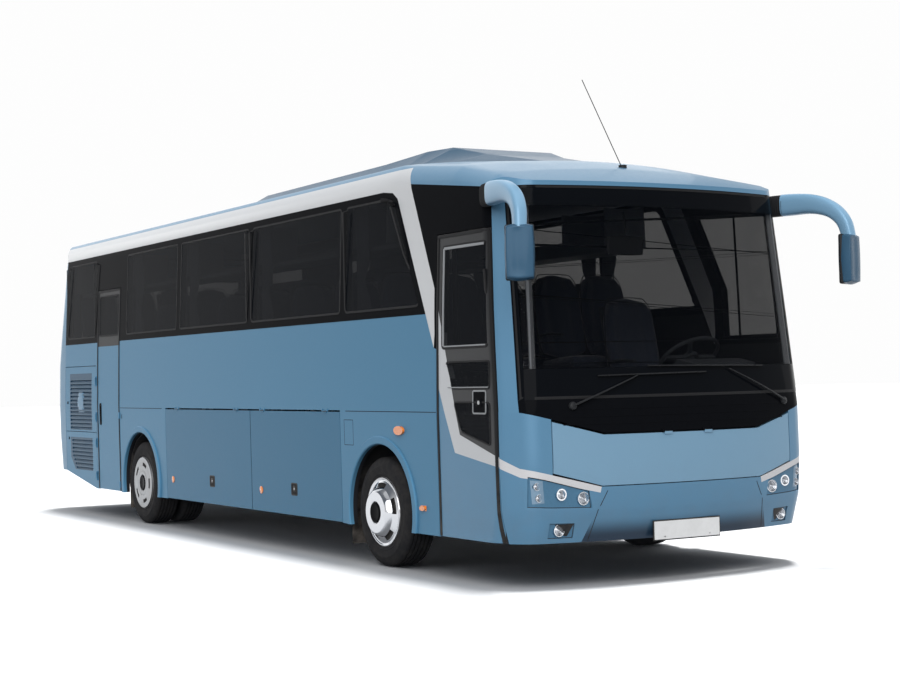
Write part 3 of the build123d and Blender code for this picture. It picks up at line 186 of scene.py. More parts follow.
def paint(name, light, dark, metallic=0.1, rough=0.36, coat=0.12, film=0.15, spec=0.2, gap=None,
          shaded=None, lining=None):
    """Metallic coach paint: flakes, a slight ripple, a clear coat and a little road film low down.

    gap is a black joint (from z, to z and perhaps half its width), shaded a painted shadow at the foot (full at z, gone
    at z, colour) and lining the half width inside which a panel shows its dark inner face.
    """
    mat, t, s = tree_of(name)
    where = coords(t)
    flake = noise(t, 900.0, 2.0, 0.6, where)
    cloud = noise(t, 1.3, 3.0, 0.5, where)
    base = mix(t, flake, dark, light)
    base = mix(t, times(t, cloud, 0.25), base, [c * 0.82 for c in light])
    base = mix(t, grime(t, film), base, (0.16, 0.14, 0.12))
    xyz = node(t, "ShaderNodeSeparateXYZ", {0: where})
    z = xyz.outputs[2]
    # Painted shadow: the colour darkens toward shaded's colour at the foot
    if shaded:
        base = mix(t, smooth_range(t, z, shaded[1], shaded[0]), base, shaded[2])
    if lining:
        inner = smooth_range(t, absolute(t, xyz.outputs[1]), lining + 0.002, lining - 0.002)
        base = mix(t, inner, base, INNER_FACE)
    if gap:
        inside = times(t, smooth_range(t, z, gap[0], gap[0] + 0.0008), smooth_range(t, z, gap[1], gap[1] - 0.0008))
        if len(gap) > 2:
            half_width = smooth_range(t, absolute(t, xyz.outputs[1]), gap[2] + 0.002, gap[2])
            inside = times(t, inside, half_width)
        base = mix(t, inside, base, JOINT_BLACK)
    t.links.new(base, s.inputs["Base Color"])
    s.inputs["Metallic"].default_value = metallic
    s.inputs["Specular IOR Level"].default_value = spec
    r = plus(t, times(t, noise(t, 35.0, 3.0, 0.6, where), 0.10), rough - 0.05)
    r = plus(t, r, times(t, grime(t, film), 0.5), clamp=True)
    t.links.new(r, s.inputs["Roughness"])
    s.inputs["Coat Weight"].default_value = coat
    s.inputs["Coat Roughness"].default_value = 0.04
    t.links.new(bump(t, noise(t, 2.2, 1.0, 0.4, where), 0.12, 0.004), s.inputs["Coat Normal"])
    return mat, t, s


def side_paint(name, **more):
    """The coach blue of the flat sides, a little deeper and less glossy than the rest."""
    return paint(name, (0.102, 0.268, 0.420), (0.066, 0.194, 0.316), coat=0.04, film=0.06, spec=0.08, **more)


def simple(name, color, rough, metallic=0.0, grain=60.0, bumpy=0.2, vary=0.15, distance=0.0006, film=0.0, coat=0.0,
           ior=1.5, alpha=1.0, spec=0.5):
    """A plain finish with its own grain, colour variation and road film."""
    mat, t, s = tree_of(name)
    where = coords(t)
    fine = noise(t, grain, 4.0, 0.6, where)
    broad = noise(t, 3.0, 3.0, 0.5, where)
    base = mix(t, fine, [c * (1 - vary) for c in color], [min(1, c * (1 + vary)) for c in color])
    base = mix(t, times(t, broad, vary), base, [c * 0.7 for c in color])
    if film:
        base = mix(t, grime(t, film), base, (0.17, 0.15, 0.13))
    t.links.new(base, s.inputs["Base Color"])
    r = plus(t, times(t, fine, 0.16), rough - 0.08, clamp=True)
    t.links.new(r, s.inputs["Roughness"])
    s.inputs["Metallic"].default_value = metallic
    s.inputs["Coat Weight"].default_value = coat
    s.inputs["IOR"].default_value = ior
    s.inputs["Specular IOR Level"].default_value = spec
    s.inputs["Alpha"].default_value = alpha
    if bumpy:
        t.links.new(bump(t, fine, bumpy, distance), s.inputs["Normal"])
    return mat


def woven(name, a, b, scale=420.0, rough=0.85, sheen=0.3):
    """Woven cloth: warp and weft waves, colour variation and a soft sheen."""
    mat, t, s = tree_of(name)
    where = coords(t)
    waves = []
    for axis in ("X", "Z", "Y"):
        waves.append(node(t, "ShaderNodeTexWave", {"Vector": where, "Scale": scale, "Distortion": 0.6},
                          bands_direction=axis).outputs["Fac"])
    weave = times(t, plus(t, waves[0], waves[2]), waves[1])
    base = mix(t, weave, a, b)
    base = mix(t, times(t, noise(t, 7.0, 4.0, 0.6, where), 0.5), base, [c * 0.6 for c in a])
    t.links.new(base, s.inputs["Base Color"])
    s.inputs["Roughness"].default_value = rough
    s.inputs["Sheen Weight"].default_value = sheen
    t.links.new(bump(t, weave, 0.5, 0.0006), s.inputs["Normal"])
    return mat


def line_mask(tree, u, v, a, b):
    """1 below the straight line from a to b in the (u, v) plane, with a hair's width of blur."""
    slope = (b[1] - a[1]) / (b[0] - a[0])
    line = plus(tree, times(tree, minus(tree, u, a[0]), slope), a[1])
    return node(tree, "ShaderNodeMapRange", {0: minus(tree, line, v), 1: -BLUR, 2: BLUR}).outputs[0]


BLUE = paint("coach_blue", BLUE_LIGHT, BLUE_DARK)[0]
WAIST_BLUE = side_paint("coach_blue_waist", lining=1.19)[0]
# The luggage flaps wear a darker copy of the side blue, which is painted shade; the black line at 1.08 m is the waist
# joint
LUGGAGE_FLAP_SHADED_BLUE = paint("coach_blue_flaps", (0.056, 0.190, 0.315), (0.036, 0.135, 0.235), coat=0.04, film=0.06, spec=0.08,
                  gap=(1.0764, 1.0836), lining=1.19)[0]
# The roof pod wears a darker copy of the coach blue, which is painted shade
SHADED_POD_BLUE = paint("coach_blue_roof_pod", (0.040, 0.105, 0.175), (0.026, 0.078, 0.135), coat=0.03, film=0.05,
                 spec=0.08)[0]
# The bumper's foot gets a painted shadow, near black-blue below 0.30 m
BUMPER_BLUE = paint("coach_blue_bumper", BLUE_LIGHT, BLUE_DARK, shaded=(0.30, 0.43, (0.012, 0.028, 0.052)))[0]
# The front flap wears a lighter copy of the coach blue, which is painted light; its gap is the black hinge joint
LIT_FLAP_BLUE = paint("coach_blue_flap", (0.215, 0.370, 0.505), (0.150, 0.290, 0.415), gap=(0.9416, 0.9750, 0.60))[0]
# The mirror arms wear a lighter copy of the coach blue, which is painted light
LIT_ARM_BLUE = paint("mirror_arm_paint", (0.24, 0.43, 0.60), (0.19, 0.36, 0.52), film=0.05)[0]
# The mirror heads wear a darker copy of the coach blue, which is painted shade
SHADED_HEAD_BLUE = paint("mirror_head_paint", (0.040, 0.105, 0.175), (0.028, 0.080, 0.140), coat=0.05, film=0.02,
                  spec=0.12)[0]
SILVER = paint("coach_silver", SILVER_LIGHT, SILVER_DARK, 0.35, 0.36, 0.15)[0]
BLACK = simple("black_gloss", (0.005, 0.0055, 0.007), 0.12, grain=30, bumpy=0.05, film=0.02, ior=1.06)
SATIN_BLACK = simple("satin_black", (0.02, 0.021, 0.023), 0.42, grain=240, bumpy=0.25, film=0.3, spec=0.12)
RUBBER = simple("rubber_seal", (0.014, 0.014, 0.015), 0.62, grain=300, bumpy=0.3, film=0.4, spec=0.12)
MUD_RUBBER = simple("mud_flap_rubber", (0.018, 0.017, 0.017), 0.78, grain=90, bumpy=0.6, film=0.9, spec=0.12)
CHROME = simple("chrome", (0.50, 0.51, 0.53), 0.11, 1.0, grain=25, bumpy=0.03, vary=0.04)
CAST = simple("cast_iron", (0.10, 0.10, 0.105), 0.62, 0.6, grain=140, bumpy=0.7, film=0.8)
CHASSIS = simple("chassis_paint", (0.022, 0.023, 0.025), 0.5, grain=110, bumpy=0.4, film=0.9, spec=0.12)
PLASTIC = simple("trim_plastic", (0.075, 0.08, 0.088), 0.55, grain=520, bumpy=0.5, vary=0.2, distance=0.0004,
                 spec=0.12)
LIGHT_TRIM = simple("light_trim", (0.24, 0.25, 0.265), 0.6, grain=420, bumpy=0.4, vary=0.12, distance=0.0004)
FLOORING = simple("floor_covering", (0.05, 0.052, 0.058), 0.6, grain=700, bumpy=0.4, vary=0.6, film=0.2, spec=0.12)
BAY = simple("bay_lining", (0.12, 0.12, 0.125), 0.7, grain=160, bumpy=0.4, vary=0.25, film=0.6)
SEAT = woven("seat_fabric", (0.035, 0.045, 0.075), (0.075, 0.09, 0.13))
CURTAIN = woven("curtain_fabric", (0.16, 0.175, 0.20), (0.25, 0.265, 0.29), 300.0, 0.9, 0.2)
PLATE = simple("plate_white", (0.80, 0.80, 0.79), 0.35, grain=40, bumpy=0.05, vary=0.03, film=0.15)
AMBER = simple("amber_lens", (0.85, 0.22, 0.015), 0.18, grain=90, bumpy=0.3, vary=0.15, coat=0.8)
RED = simple("red_lens", (0.42, 0.012, 0.012), 0.16, grain=90, bumpy=0.3, vary=0.2, coat=0.8)
REFLECTOR = simple("lamp_bowl", (0.34, 0.35, 0.37), 0.16, 1.0, grain=60, bumpy=0.25, vary=0.1, distance=0.002)
RING = simple("lamp_ring", (0.70, 0.71, 0.73), 0.15, 1.0, grain=60, bumpy=0.1, vary=0.05)
CLUSTER = simple("lamp_cluster_plate", (0.14, 0.22, 0.30), 0.35, 0.5, grain=80, bumpy=0.1, vary=0.08)
LENS = simple("lamp_lens", (0.70, 0.74, 0.80), 0.05, grain=50, bumpy=0.1, vary=0.03, coat=0.3, alpha=0.16, ior=1.3)
STEEL = simple("wheel_steel", (0.30, 0.30, 0.31), 0.5, 0.7, grain=120, bumpy=0.3, film=0.9)
WHEEL_SILVER = simple("wheel_silver", (0.30, 0.31, 0.32), 0.34, 0.9, grain=90, bumpy=0.06, vary=0.08, film=0.3)
# Near black for joints and handle recesses; behind the wheel cover slots it is painted shade
JOINT_AND_SHADE_DARK = simple("joint_and_shade_dark", (0.014, 0.014, 0.015), 0.8, grain=90, bumpy=0.4, film=0.3, spec=0.12)
PIPING = simple("piping", (0.03, 0.032, 0.04), 0.55, grain=400, bumpy=0.4)
SATIN_GREY = simple("satin_grey", (0.24, 0.25, 0.26), 0.42, 0.3, grain=260, bumpy=0.2)
LAMP_POD = simple("lamp_pod", (0.072, 0.175, 0.275), 0.34, 0.1, grain=80, bumpy=0.1, coat=0.05, spec=0.15)
LENS_WHITE = simple("clear_lens_white", (0.75, 0.76, 0.78), 0.12, grain=90, bumpy=0.3, coat=0.6)
# Blades behind the grille slots and engine lid louvres wear a darker copy of the coach blue, which is painted shade
SHADED_GRILLE_BLUE = simple("grille_blue", (0.055, 0.115, 0.185), 0.4, 0.2, grain=120, bumpy=0.2, film=0.4, spec=0.12)
GREY_METAL = simple("grey_metal", (0.36, 0.37, 0.38), 0.35, 0.8, grain=160, bumpy=0.15)
MIRROR_GLASS = simple("mirror_glass", (0.85, 0.86, 0.87), 0.03, 1.0, grain=10, bumpy=0.0, vary=0.01)


GLASS_IOR = 1.09


def glass(name, tint, alpha, region=None):
    """Bonded glass: a tint seen through, gloss from the shader, and a printed black border where region says."""
    mat, t, s = tree_of(name)
    where = coords(t)
    smear = noise(t, 5.0, 4.0, 0.6, where)
    t.links.new(mix(t, smear, [c * 0.8 for c in tint], tint), s.inputs["Base Color"])
    t.links.new(plus(t, times(t, smear, 0.03), 0.01), s.inputs["Roughness"])
    s.inputs["IOR"].default_value = GLASS_IOR
    if region:
        border = region(t, where)
        value = plus(t, times(t, border, 1 - alpha), alpha, clamp=True)
        t.links.new(value, s.inputs["Alpha"])
    else:
        s.inputs["Alpha"].default_value = alpha
    return mat


def screen_border(t, where):
    """Black print at the windscreen's foot, top and sides."""
    xyz = node(t, "ShaderNodeSeparateXYZ", {0: where})
    y = absolute(t, xyz.outputs[1])
    z = xyz.outputs[2]
    foot = smooth_range(t, minus(t, 1.352, z), -0.004, 0.004)
    top = times(t, smooth_range(t, z, 2.365, 2.385), 0.93)
    edge = plus(t, times(t, minus(t, 2.505, z), 0.0297), 1.085)
    side = smooth_range(t, plus(t, minus(t, y, edge), 0.032), -0.003, 0.003)
    return larger(t, larger(t, foot, top), side)


SIDE_GLASS = glass("side_glass", (0.008, 0.010, 0.014), 0.64)
DOOR_GLASS = glass("door_glass", (0.008, 0.010, 0.014), 0.62)
SCREEN = glass("windscreen_glass", (0.004, 0.005, 0.007), 0.34, region=screen_border)


# The lower grille field's rear edge slants below this height, by this much for each metre
LOWER_SLANT_Z, LOWER_SLANT = 0.565, 1.15


def within(tree, value, low, high):
    """1 between low and high."""
    return times(tree, smooth_range(tree, value, low, low + 0.002), smooth_range(tree, value, high, high - 0.002))


def lay_over(tree, shader, mask, color):
    """Puts a colour over the paint's own where the mask says."""
    base = shader.inputs["Base Color"].links[0].from_socket
    tree.links.new(mix(tree, mask, base, color), shader.inputs["Base Color"])


def grille_paint():
    """Grille doors: the slotted fields get a painted shade, darker than the panel round them."""
    mat, t, s = side_paint("grille_door_paint")
    x, _, z = place_xyz(t)
    left = plus(t, times(t, larger(t, minus(t, LOWER_SLANT_Z, z), 0.0), LOWER_SLANT), at(-6.900))
    across = times(t, smooth_range(t, minus(t, x, left), -0.001, 0.001), smooth_range(t, x, at(-6.192), at(-6.194)))
    up = plus(t, within(t, z, 0.440, 0.776), within(t, z, 0.850, 1.432))
    # Painted shade over the slotted fields
    lay_over(t, s, times(t, across, up), (0.030, 0.085, 0.145))
    return mat


def rear_door_paint():
    """Rear door: black surround at window height, blue below."""
    mat, t, s = side_paint("rear_door_paint")
    lay_over(t, s, smooth_range(t, place_xyz(t)[2], 1.690, 1.694), JOINT_BLACK)
    return mat


def corner_paint():
    """Blue front corner with the bright strip that runs on from the door to the lamps."""
    mat, t, s = paint("corner_paint", BLUE_LIGHT, BLUE_DARK)
    x, across, z = place_xyz(t)
    y = absolute(t, across)
    back = larger(t, minus(t, at(1.7), x), 0.0)
    high = plus(t, plus(t, times(t, minus(t, y, 0.624), 0.2526), 0.612), times(t, back, 0.39))
    low = plus(t, plus(t, times(t, minus(t, y, 0.639), 0.2243), 0.575), times(t, back, 0.337))
    inside = times(t, smooth_range(t, minus(t, high, z), -BLUR, BLUR), smooth_range(t, minus(t, z, low), -BLUR, BLUR))
    lay_over(t, s, inside, mix(t, noise(t, 400.0, 2.0, 0.7), SILVER_DARK, (0.74, 0.72, 0.72)))
    return mat


def door_paint():
    """Front door leaf: black frame, bright sweep and blue foot; its inner face is dark."""
    mat, t, s = paint("door_paint", BLUE_LIGHT, BLUE_DARK)
    x, y, z = place_xyz(t)
    out_a, out_b, out_c = (at(0.845), 1.279), (at(1.057), 0.824), (at(1.545), 0.753)
    in_a, in_b, in_c = (at(0.868), 1.738), (at(1.126), 0.941), (at(1.549), 0.819)
    below_outer = larger(t, line_mask(t, x, z, out_a, out_b), line_mask(t, x, z, out_b, out_c))
    below_inner = larger(t, line_mask(t, x, z, in_a, in_b), line_mask(t, x, z, in_b, in_c))
    blue = s.inputs["Base Color"].links[0].from_socket
    silver = mix(t, noise(t, 600.0, 2.0, 0.6), SILVER_DARK, SILVER_LIGHT)
    color = mix(t, below_outer, mix(t, below_inner, (0.012, 0.013, 0.015), silver), blue)
    outside = smooth_range(t, minus(t, -1.165, y), -0.002, 0.002)
    t.links.new(mix(t, outside, (0.02, 0.021, 0.023), color), s.inputs["Base Color"])
    return mat


CORNER = corner_paint()
DOOR = door_paint()
GRILLE_DOOR = grille_paint()
REAR_DOOR = rear_door_paint()


def tyre_rubber():
    mat, t, s = tree_of("tyre_rubber")
    where = coords(t)
    fine = noise(t, 260.0, 5.0, 0.65, where)
    dust = noise(t, 11.0, 4.0, 0.6, where)
    base = mix(t, fine, (0.012, 0.012, 0.013), (0.026, 0.026, 0.028))
    base = mix(t, times(t, ramp(t, dust, [(0.4, (0, 0, 0)), (0.8, (1, 1, 1))]), 0.35), base,
               (0.075, 0.068, 0.06))
    t.links.new(base, s.inputs["Base Color"])
    t.links.new(plus(t, times(t, fine, 0.2), 0.62), s.inputs["Roughness"])
    s.inputs["Specular IOR Level"].default_value = 0.06
    t.links.new(bump(t, fine, 0.45, 0.0008), s.inputs["Normal"])
    return mat


TYRE = tyre_rubber()

MATERIAL_OF = {
    SHADED_POD_BLUE: ["air_conditioner"], BUMPER_BLUE: ["front_bumper"],
    BLUE: ["roof", "rear_panel", "rear_bumper", "engine_lid", "mirrors"], REAR_DOOR: ["rear_door"],
    GRILLE_DOOR: ["grille_door_upper_left", "grille_door_upper_right", "grille_door_lower_left",
                  "grille_door_lower_right"],
    LIT_FLAP_BLUE: ["front_flap"],
    WAIST_BLUE: ["skirt_panels", "waist_panels"],
    LUGGAGE_FLAP_SHADED_BLUE: ["luggage_flap_front_left", "luggage_flap_front_right", "luggage_flap_rear_left",
                "luggage_flap_rear_right"],
    CORNER: ["front_corners"], DOOR: ["front_door"], SILVER: ["roof_bands"], BLACK: ["window_frames", "front_mask"],
    SIDE_GLASS: ["side_windows", "rear_window", "rear_door_window"], DOOR_GLASS: ["front_door_windows"],
    SCREEN: ["windscreen"], MUD_RUBBER: ["mud_flaps"], RUBBER: ["air_springs"], SATIN_BLACK: ["wipers", "aerial"],
    TYRE: ["front_tyre_left", "front_tyre_right", "rear_tyres_left", "rear_tyres_right"],
    CHROME: ["front_wheel_left", "front_wheel_right", "rear_wheels_left", "rear_wheels_right"],
    CHASSIS: ["chassis", "knuckle_left", "knuckle_right", "wheel_housings", "front_door_arms"],
    CAST: ["powertrain", "axles"], PLASTIC: ["dashboard", "steering_wheel"], LIGHT_TRIM: ["overhead_racks"],
    BAY: ["luggage_bays"], FLOORING: ["floor"], SEAT: ["seats"], CURTAIN: ["curtains"],
    RED: ["rear_lamps"], AMBER: ["side_markers"], PLATE: ["number_plate"], LAMP_POD: ["front_lamps"],
}


def soft_edges():
    """Shade by angle after the split corners of the imported mesh are joined."""
    g = bpy.data.node_groups.new("soft_edges", "GeometryNodeTree")
    g.interface.new_socket("Geometry", in_out="INPUT", socket_type="NodeSocketGeometry")
    g.interface.new_socket("Geometry", in_out="OUTPUT", socket_type="NodeSocketGeometry")
    a, z = g.nodes.new("NodeGroupInput"), g.nodes.new("NodeGroupOutput")
    merge = node(g, "GeometryNodeMergeByDistance", {"Geometry": a.outputs[0], "Distance": 0.00005})
    faces = node(g, "GeometryNodeSetShadeSmooth", {0: merge.outputs[0]}, domain="FACE")
    angle = node(g, "GeometryNodeInputMeshEdgeAngle")
    sharp = node(g, "FunctionNodeCompare", {0: angle.outputs[0], 1: 0.42}, data_type="FLOAT", operation="GREATER_THAN")
    edges = node(g, "GeometryNodeSetShadeSmooth", {0: faces.outputs[0], "Selection": sharp.outputs[0],
                                                   "Shade Smooth": False}, domain="EDGE")
    g.links.new(edges.outputs[0], z.inputs[0])
    return g


SOFT = soft_edges()
for material, names in MATERIAL_OF.items():
    for name in names:
        ob = NODES[name]
        ob.data.materials.clear()
        ob.data.materials.append(material)
        m = ob.modifiers.new("soft_edges", "NODES")
        m.node_group = SOFT


# Mesh helpers: every piece is gathered in a bmesh and finished by make()

def absorb(bm, part, mat, matrix=None):
    """Adds a part's mesh to bm in one material, placed by a matrix."""
    if matrix:
        bmesh.ops.transform(part, matrix=matrix, verts=part.verts)
    for f in part.faces:
        f.material_index = mat
    me = bpy.data.meshes.new("part")
    part.to_mesh(me)
    part.free()
    bm.from_mesh(me)
    bpy.data.meshes.remove(me)


def box(bm, low, high, mat=0, matrix=None, bevel=0.0):
    """A block between two corners, with its edges rounded where bevel says."""
    part = bmesh.new()
    low, high = Vector(low), Vector(high)
    bmesh.ops.create_cube(part, size=1, matrix=Matrix.Translation((low + high) / 2)
                          @ Matrix.Diagonal((*(high - low), 1)))
    if bevel:
        bmesh.ops.bevel(part, geom=part.edges[:], offset=bevel, segments=3, profile=0.5, affect="EDGES", material=-1)
    absorb(bm, part, mat, matrix)


def steady(direction):
    """World Z, or X for a direction that is nearly upright."""
    return Vector((0, 0, 1)) if abs(direction.z) < 0.9 else Vector((1, 0, 0))


def frames_along(path, up=None):
    """Tangent and two steady side directions at each point of a path."""
    tangents = []
    for i in range(len(path)):
        a, b = path[max(i - 1, 0)], path[min(i + 1, len(path) - 1)]
        tangents.append((Vector(b) - Vector(a)).normalized())
    side = (up or steady(tangents[0])).cross(tangents[0]).normalized()
    out = []
    for t in tangents:
        side = (side - t * side.dot(t)).normalized()
        out.append((t, side, t.cross(side)))
    return out


def skin(bm, rings, mat=0, closed=True, loop=False):
    """Faces between rings of points; closed rings go round and get end caps, loop joins the last ring to the first."""
    n = len(rings[0])
    rows = [[bm.verts.new(p) for p in ring] for ring in rings]
    pairs = list(zip(rows, rows[1:])) + ([(rows[-1], rows[0])] if loop else [])
    for a, b in pairs:
        for i in range(n if closed else n - 1):
            j = (i + 1) % n
            bm.faces.new((a[i], a[j], b[j], b[i])).material_index = mat
    if closed and not loop:
        bm.faces.new(list(reversed(rows[0]))).material_index = mat
        bm.faces.new(rows[-1]).material_index = mat


def tube(bm, path, radius, mat=0, sides=12, flat=1.0, up=None):
    """A round or flattened bar; radius may be one number or one for each point."""
    radii = radius if hasattr(radius, "__len__") else [radius] * len(path)
    rings = []
    for p, r, (_, s, u) in zip(path, radii, frames_along(path, up)):
        rings.append([Vector(p) + s * r * math.cos(a) + u * r * flat * math.sin(a)
                      for a in (2 * math.pi * k / sides for k in range(sides))])
    skin(bm, rings, mat)


def curve(a, b, c, d, t):
    """The smooth curve from b to c at share t, with a before it and d after it."""
    return 0.5 * (2 * b + (c - a) * t + (2 * a - 5 * b + 4 * c - d) * t * t + (3 * b - a - 3 * c + d) * t ** 3)


def neighbours(rows, steps):
    """The four rows round each step from the first row to the last, with its share t."""
    for i in range(len(rows) - 1):
        near = rows[max(i - 1, 0)], rows[i], rows[i + 1], rows[min(i + 2, len(rows) - 1)]
        for k in range(steps):
            yield near, k / steps


def smooth_path(points, steps):
    """A rounded line through the points, for pieces that are not cords."""
    pts = [Vector(p) for p in points]
    return [curve(*near, t) for near, t in neighbours(pts, steps)] + [pts[-1]]


def between(rows, steps):
    """Rows of a table with smooth ones added between them."""
    return [[curve(*column, t) for column in zip(*near)] for near, t in neighbours(rows, steps)] + [list(rows[-1])]


def lathe(bm, centre, axis, profile, steps=48, mat=0, radius_shift=None):
    """A profile of (radius, offset along the axis) spun round it; radius 0 closes it at a pole."""
    part = bmesh.new()
    line = [part.verts.new((r, 0, h)) for r, h in profile]
    edges = [part.edges.new(pair) for pair in zip(line, line[1:])]
    bmesh.ops.spin(part, geom=line + edges, cent=(0, 0, 0), axis=(0, 0, 1), angle=2 * math.pi, steps=steps,
                   use_merge=True)
    bmesh.ops.remove_doubles(part, verts=part.verts, dist=1e-6)
    bmesh.ops.recalc_face_normals(part, faces=part.faces)
    if radius_shift:
        for v in part.verts:
            r = math.hypot(v.co.x, v.co.y)
            k = (r + radius_shift(r, v.co.z, math.atan2(v.co.y, v.co.x))) / r
            v.co.x, v.co.y = v.co.x * k, v.co.y * k
    absorb(bm, part, mat, along(centre, axis))


def along(centre, axis):
    """Matrix that stands local Z on an axis through a centre, with local X level."""
    z = Vector(axis).normalized()
    x = steady(z).cross(z).normalized()
    return Matrix.Translation(centre) @ Matrix((x, z.cross(x), z)).transposed().to_4x4()


def make(name, bm, mats, body="body", bevel=0.0, angle=35.0, replaces=(), recalc=True):
    """Turns a bmesh into a piece that rides on a body, shades by angle and wears its materials."""
    if recalc:
        bmesh.ops.recalc_face_normals(bm, faces=bm.faces)
    me = bpy.data.meshes.new(name)
    bm.to_mesh(me)
    bm.free()
    for m in (mats if isinstance(mats, (list, tuple)) else [mats]):
        me.materials.append(m)
    ob = bpy.data.objects.new(name, me)
    bpy.context.scene.collection.objects.link(ob)
    for p in me.polygons:
        p.use_smooth = True
    me.set_sharp_from_angle(angle=math.radians(angle))
    if bevel:
        m = ob.modifiers.new("bevel", "BEVEL")
        m.width = bevel
        m.segments = 2
        m.limit_method = "ANGLE"
        m.angle_limit = math.radians(angle)
        m.harden_normals = True
    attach(ob, body)
    if replaces:
        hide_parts(*replaces)
    return ob


def tree_of_nodes(*names):
    """The meshes of some CAD nodes as one tree that rays can be cast at."""
    points, polys = [], []
    for name in names:
        me = NODES[name].data
        base = len(points)
        points += [v.co.copy() for v in me.vertices]
        polys += [[base + i for i in p.vertices] for p in me.polygons]
    return BVHTree.FromPolygons(points, polys)


SHELL_NODES = ["skirt_panels", "waist_panels", "window_frames", "side_windows", "front_door", "front_door_windows",
               "rear_door", "rear_door_window", "front_corners", "roof_bands", "roof", "front_bumper", "front_mask",
               "front_flap", "windscreen", "rear_panel", "rear_window", "rear_bumper", "rear_lamps", "engine_lid",
               "front_lamps"] + [n for n in NODES if n.startswith(("luggage_flap", "grille_door"))]
SHELL = tree_of_nodes(*SHELL_NODES)


def on_shell(start, ray, otherwise):
    """First point of the shell along a ray, and its normal toward the start; otherwise where nothing is met."""
    ray = Vector(ray)
    point, normal, _, _ = SHELL.ray_cast(Vector(start), ray)
    if point is None:
        return Vector(otherwise), -ray
    return point, (normal if normal.dot(ray) < 0 else -normal)


def on_side(side, x, z):
    """Point and outward normal on the body's side; a steep normal, at an edge, gives way to a level one."""
    point, normal = on_shell((at(x), side * 1.6, z), (0, -side, 0), (at(x), side * 1.2, z))
    return point, (Vector((0, side, 0)) if normal.y * side < 0.7 else normal)


def side_place(side):
    return lambda x, z: on_side(side, x, z)


def on_nose(y, z):
    """Point and outward normal on the nose."""
    return on_shell((5.2, y, z), (-1, 0, 0), (4.5, y, z))


def on_tail(y, z):
    """Point and outward normal on the tail."""
    return on_shell((-5.4, y, z), (1, 0, 0), (-4.75, y, z))


def divide(points, step, closed):
    """Points along straight runs no further apart than step."""
    pts = [Vector(p) for p in points]
    if closed:
        pts.append(pts[0])
    out = []
    for a, b in zip(pts, pts[1:]):
        n = max(1, int(math.ceil((b - a).length / step)))
        out += [a.lerp(b, k / n) for k in range(n)]
    if not closed:
        out.append(pts[-1])
    return out


def rect(x0, z0, x1, z1):
    """The four corners of an upright rectangle."""
    return [(x0, z0), (x1, z0), (x1, z1), (x0, z1)]


def rounded(points, radius, steps=4):
    """A closed flat outline with each corner rounded."""
    pts = [Vector(p) for p in points]
    out = []
    for i, p in enumerate(pts):
        a, b = pts[i - 1] - p, pts[(i + 1) % len(pts)] - p
        r = min(radius, a.length * 0.45, b.length * 0.45)
        p0, p2 = p + a.normalized() * r, p + b.normalized() * r
        for k in range(steps + 1):
            t = k / steps
            out.append(p0 * (1 - t) ** 2 + p * 2 * t * (1 - t) + p2 * t * t)
    return out


# Section of a strip in shares of its width and height; its two feet sink into the body
STRIP = [(-0.5, 0), (-0.42, 0.75), (-0.2, 1), (0.2, 1), (0.42, 0.75), (0.5, 0)]
SINK = 0.002


def ribbon(bm, place, outline, width, height, mat=0, closed=True, step=0.12):
    """A seal or trim strip that follows an outline on the body; place gives point and normal."""
    samples = [place(*p) for p in divide(outline, step, closed)]
    n = len(samples)
    rings = []
    for i, (p, normal) in enumerate(samples):
        a = samples[(i - 1) % n][0] if closed or i else p
        b = samples[(i + 1) % n][0] if closed or i < n - 1 else p
        d1, d2 = (p - a), (b - p)
        d1 = d1.normalized() if d1.length > 1e-7 else d2.normalized()
        d2 = d2.normalized() if d2.length > 1e-7 else d1
        t = (d1 + d2).normalized()
        side = t.cross(normal).normalized()
        stretch = min(1.6, 1 / max(0.4, math.sqrt(max(0.0, (1 + d1.dot(d2)) / 2))))
        rings.append([p + side * (u * width * stretch) + normal * (v * height - (SINK if v == 0 else 0))
                      for u, v in STRIP])
    skin(bm, rings, mat, loop=closed)


def patch(bm, place, outline, out=0.0005, mat=0, cells=8):
    """A thin sheet laid on the body inside a four-sided outline."""
    a, b, c, d = [Vector(p) for p in outline]
    part = bmesh.new()
    bmesh.ops.create_grid(part, x_segments=cells, y_segments=cells, size=0.5)
    for v in part.verts:
        s, t = v.co.x + 0.5, v.co.y + 0.5
        p, n = place(*(a.lerp(b, s)).lerp(d.lerp(c, s), t))
        v.co = p + n * out
    absorb(bm, part, mat)


def pad(bm, size, matrix, crown, pull, round_, seams=(), n=10, shape=None):
    """A stuffed pad: a rounded block, crowned on +Z, with sides that pull in and sewn channels across X or Y.

    Each seam is (axis, place from -1 to 1, depth, width); shape may move a point p that sat at q in the unit block.
    """
    half = Vector(size) / 2
    part = bmesh.new()
    bmesh.ops.create_cube(part, size=2)
    bmesh.ops.subdivide_edges(part, edges=part.edges[:], cuts=n - 1, use_grid_fill=True)
    for vert in part.verts:
        q = vert.co.copy()
        p = q.lerp(q.normalized() * max(abs(c) for c in q), round_)
        p = Vector((p.x * half.x, p.y * half.y, p.z * half.z))
        u, v = q.x, q.y
        if q.z > 0:
            p.z += crown * half.z * (1 - u * u) * (1 - v * v) * q.z
        p.x *= 1 - pull * (1 - v * v)
        p.y *= 1 - pull * (1 - u * u)
        for axis, place, depth, width in seams:
            if q.z > 0.4:
                p.z -= depth * math.exp(-((q[axis] - place) / width) ** 2)
        vert.co = shape(p, q) if shape else p
    absorb(bm, part, 0, matrix)


def frame_matrix(origin, x_dir, z_dir):
    """Matrix of a frame from its origin, its X direction and its Z direction."""
    x = Vector(x_dir).normalized()
    z = Vector(z_dir).normalized()
    y = z.cross(x).normalized()
    x = y.cross(z)
    return Matrix.Translation(origin) @ Matrix((x, y, z)).transposed().to_4x4()


# Tyres: grooved tread, shoulder lugs and ribbed sidewalls

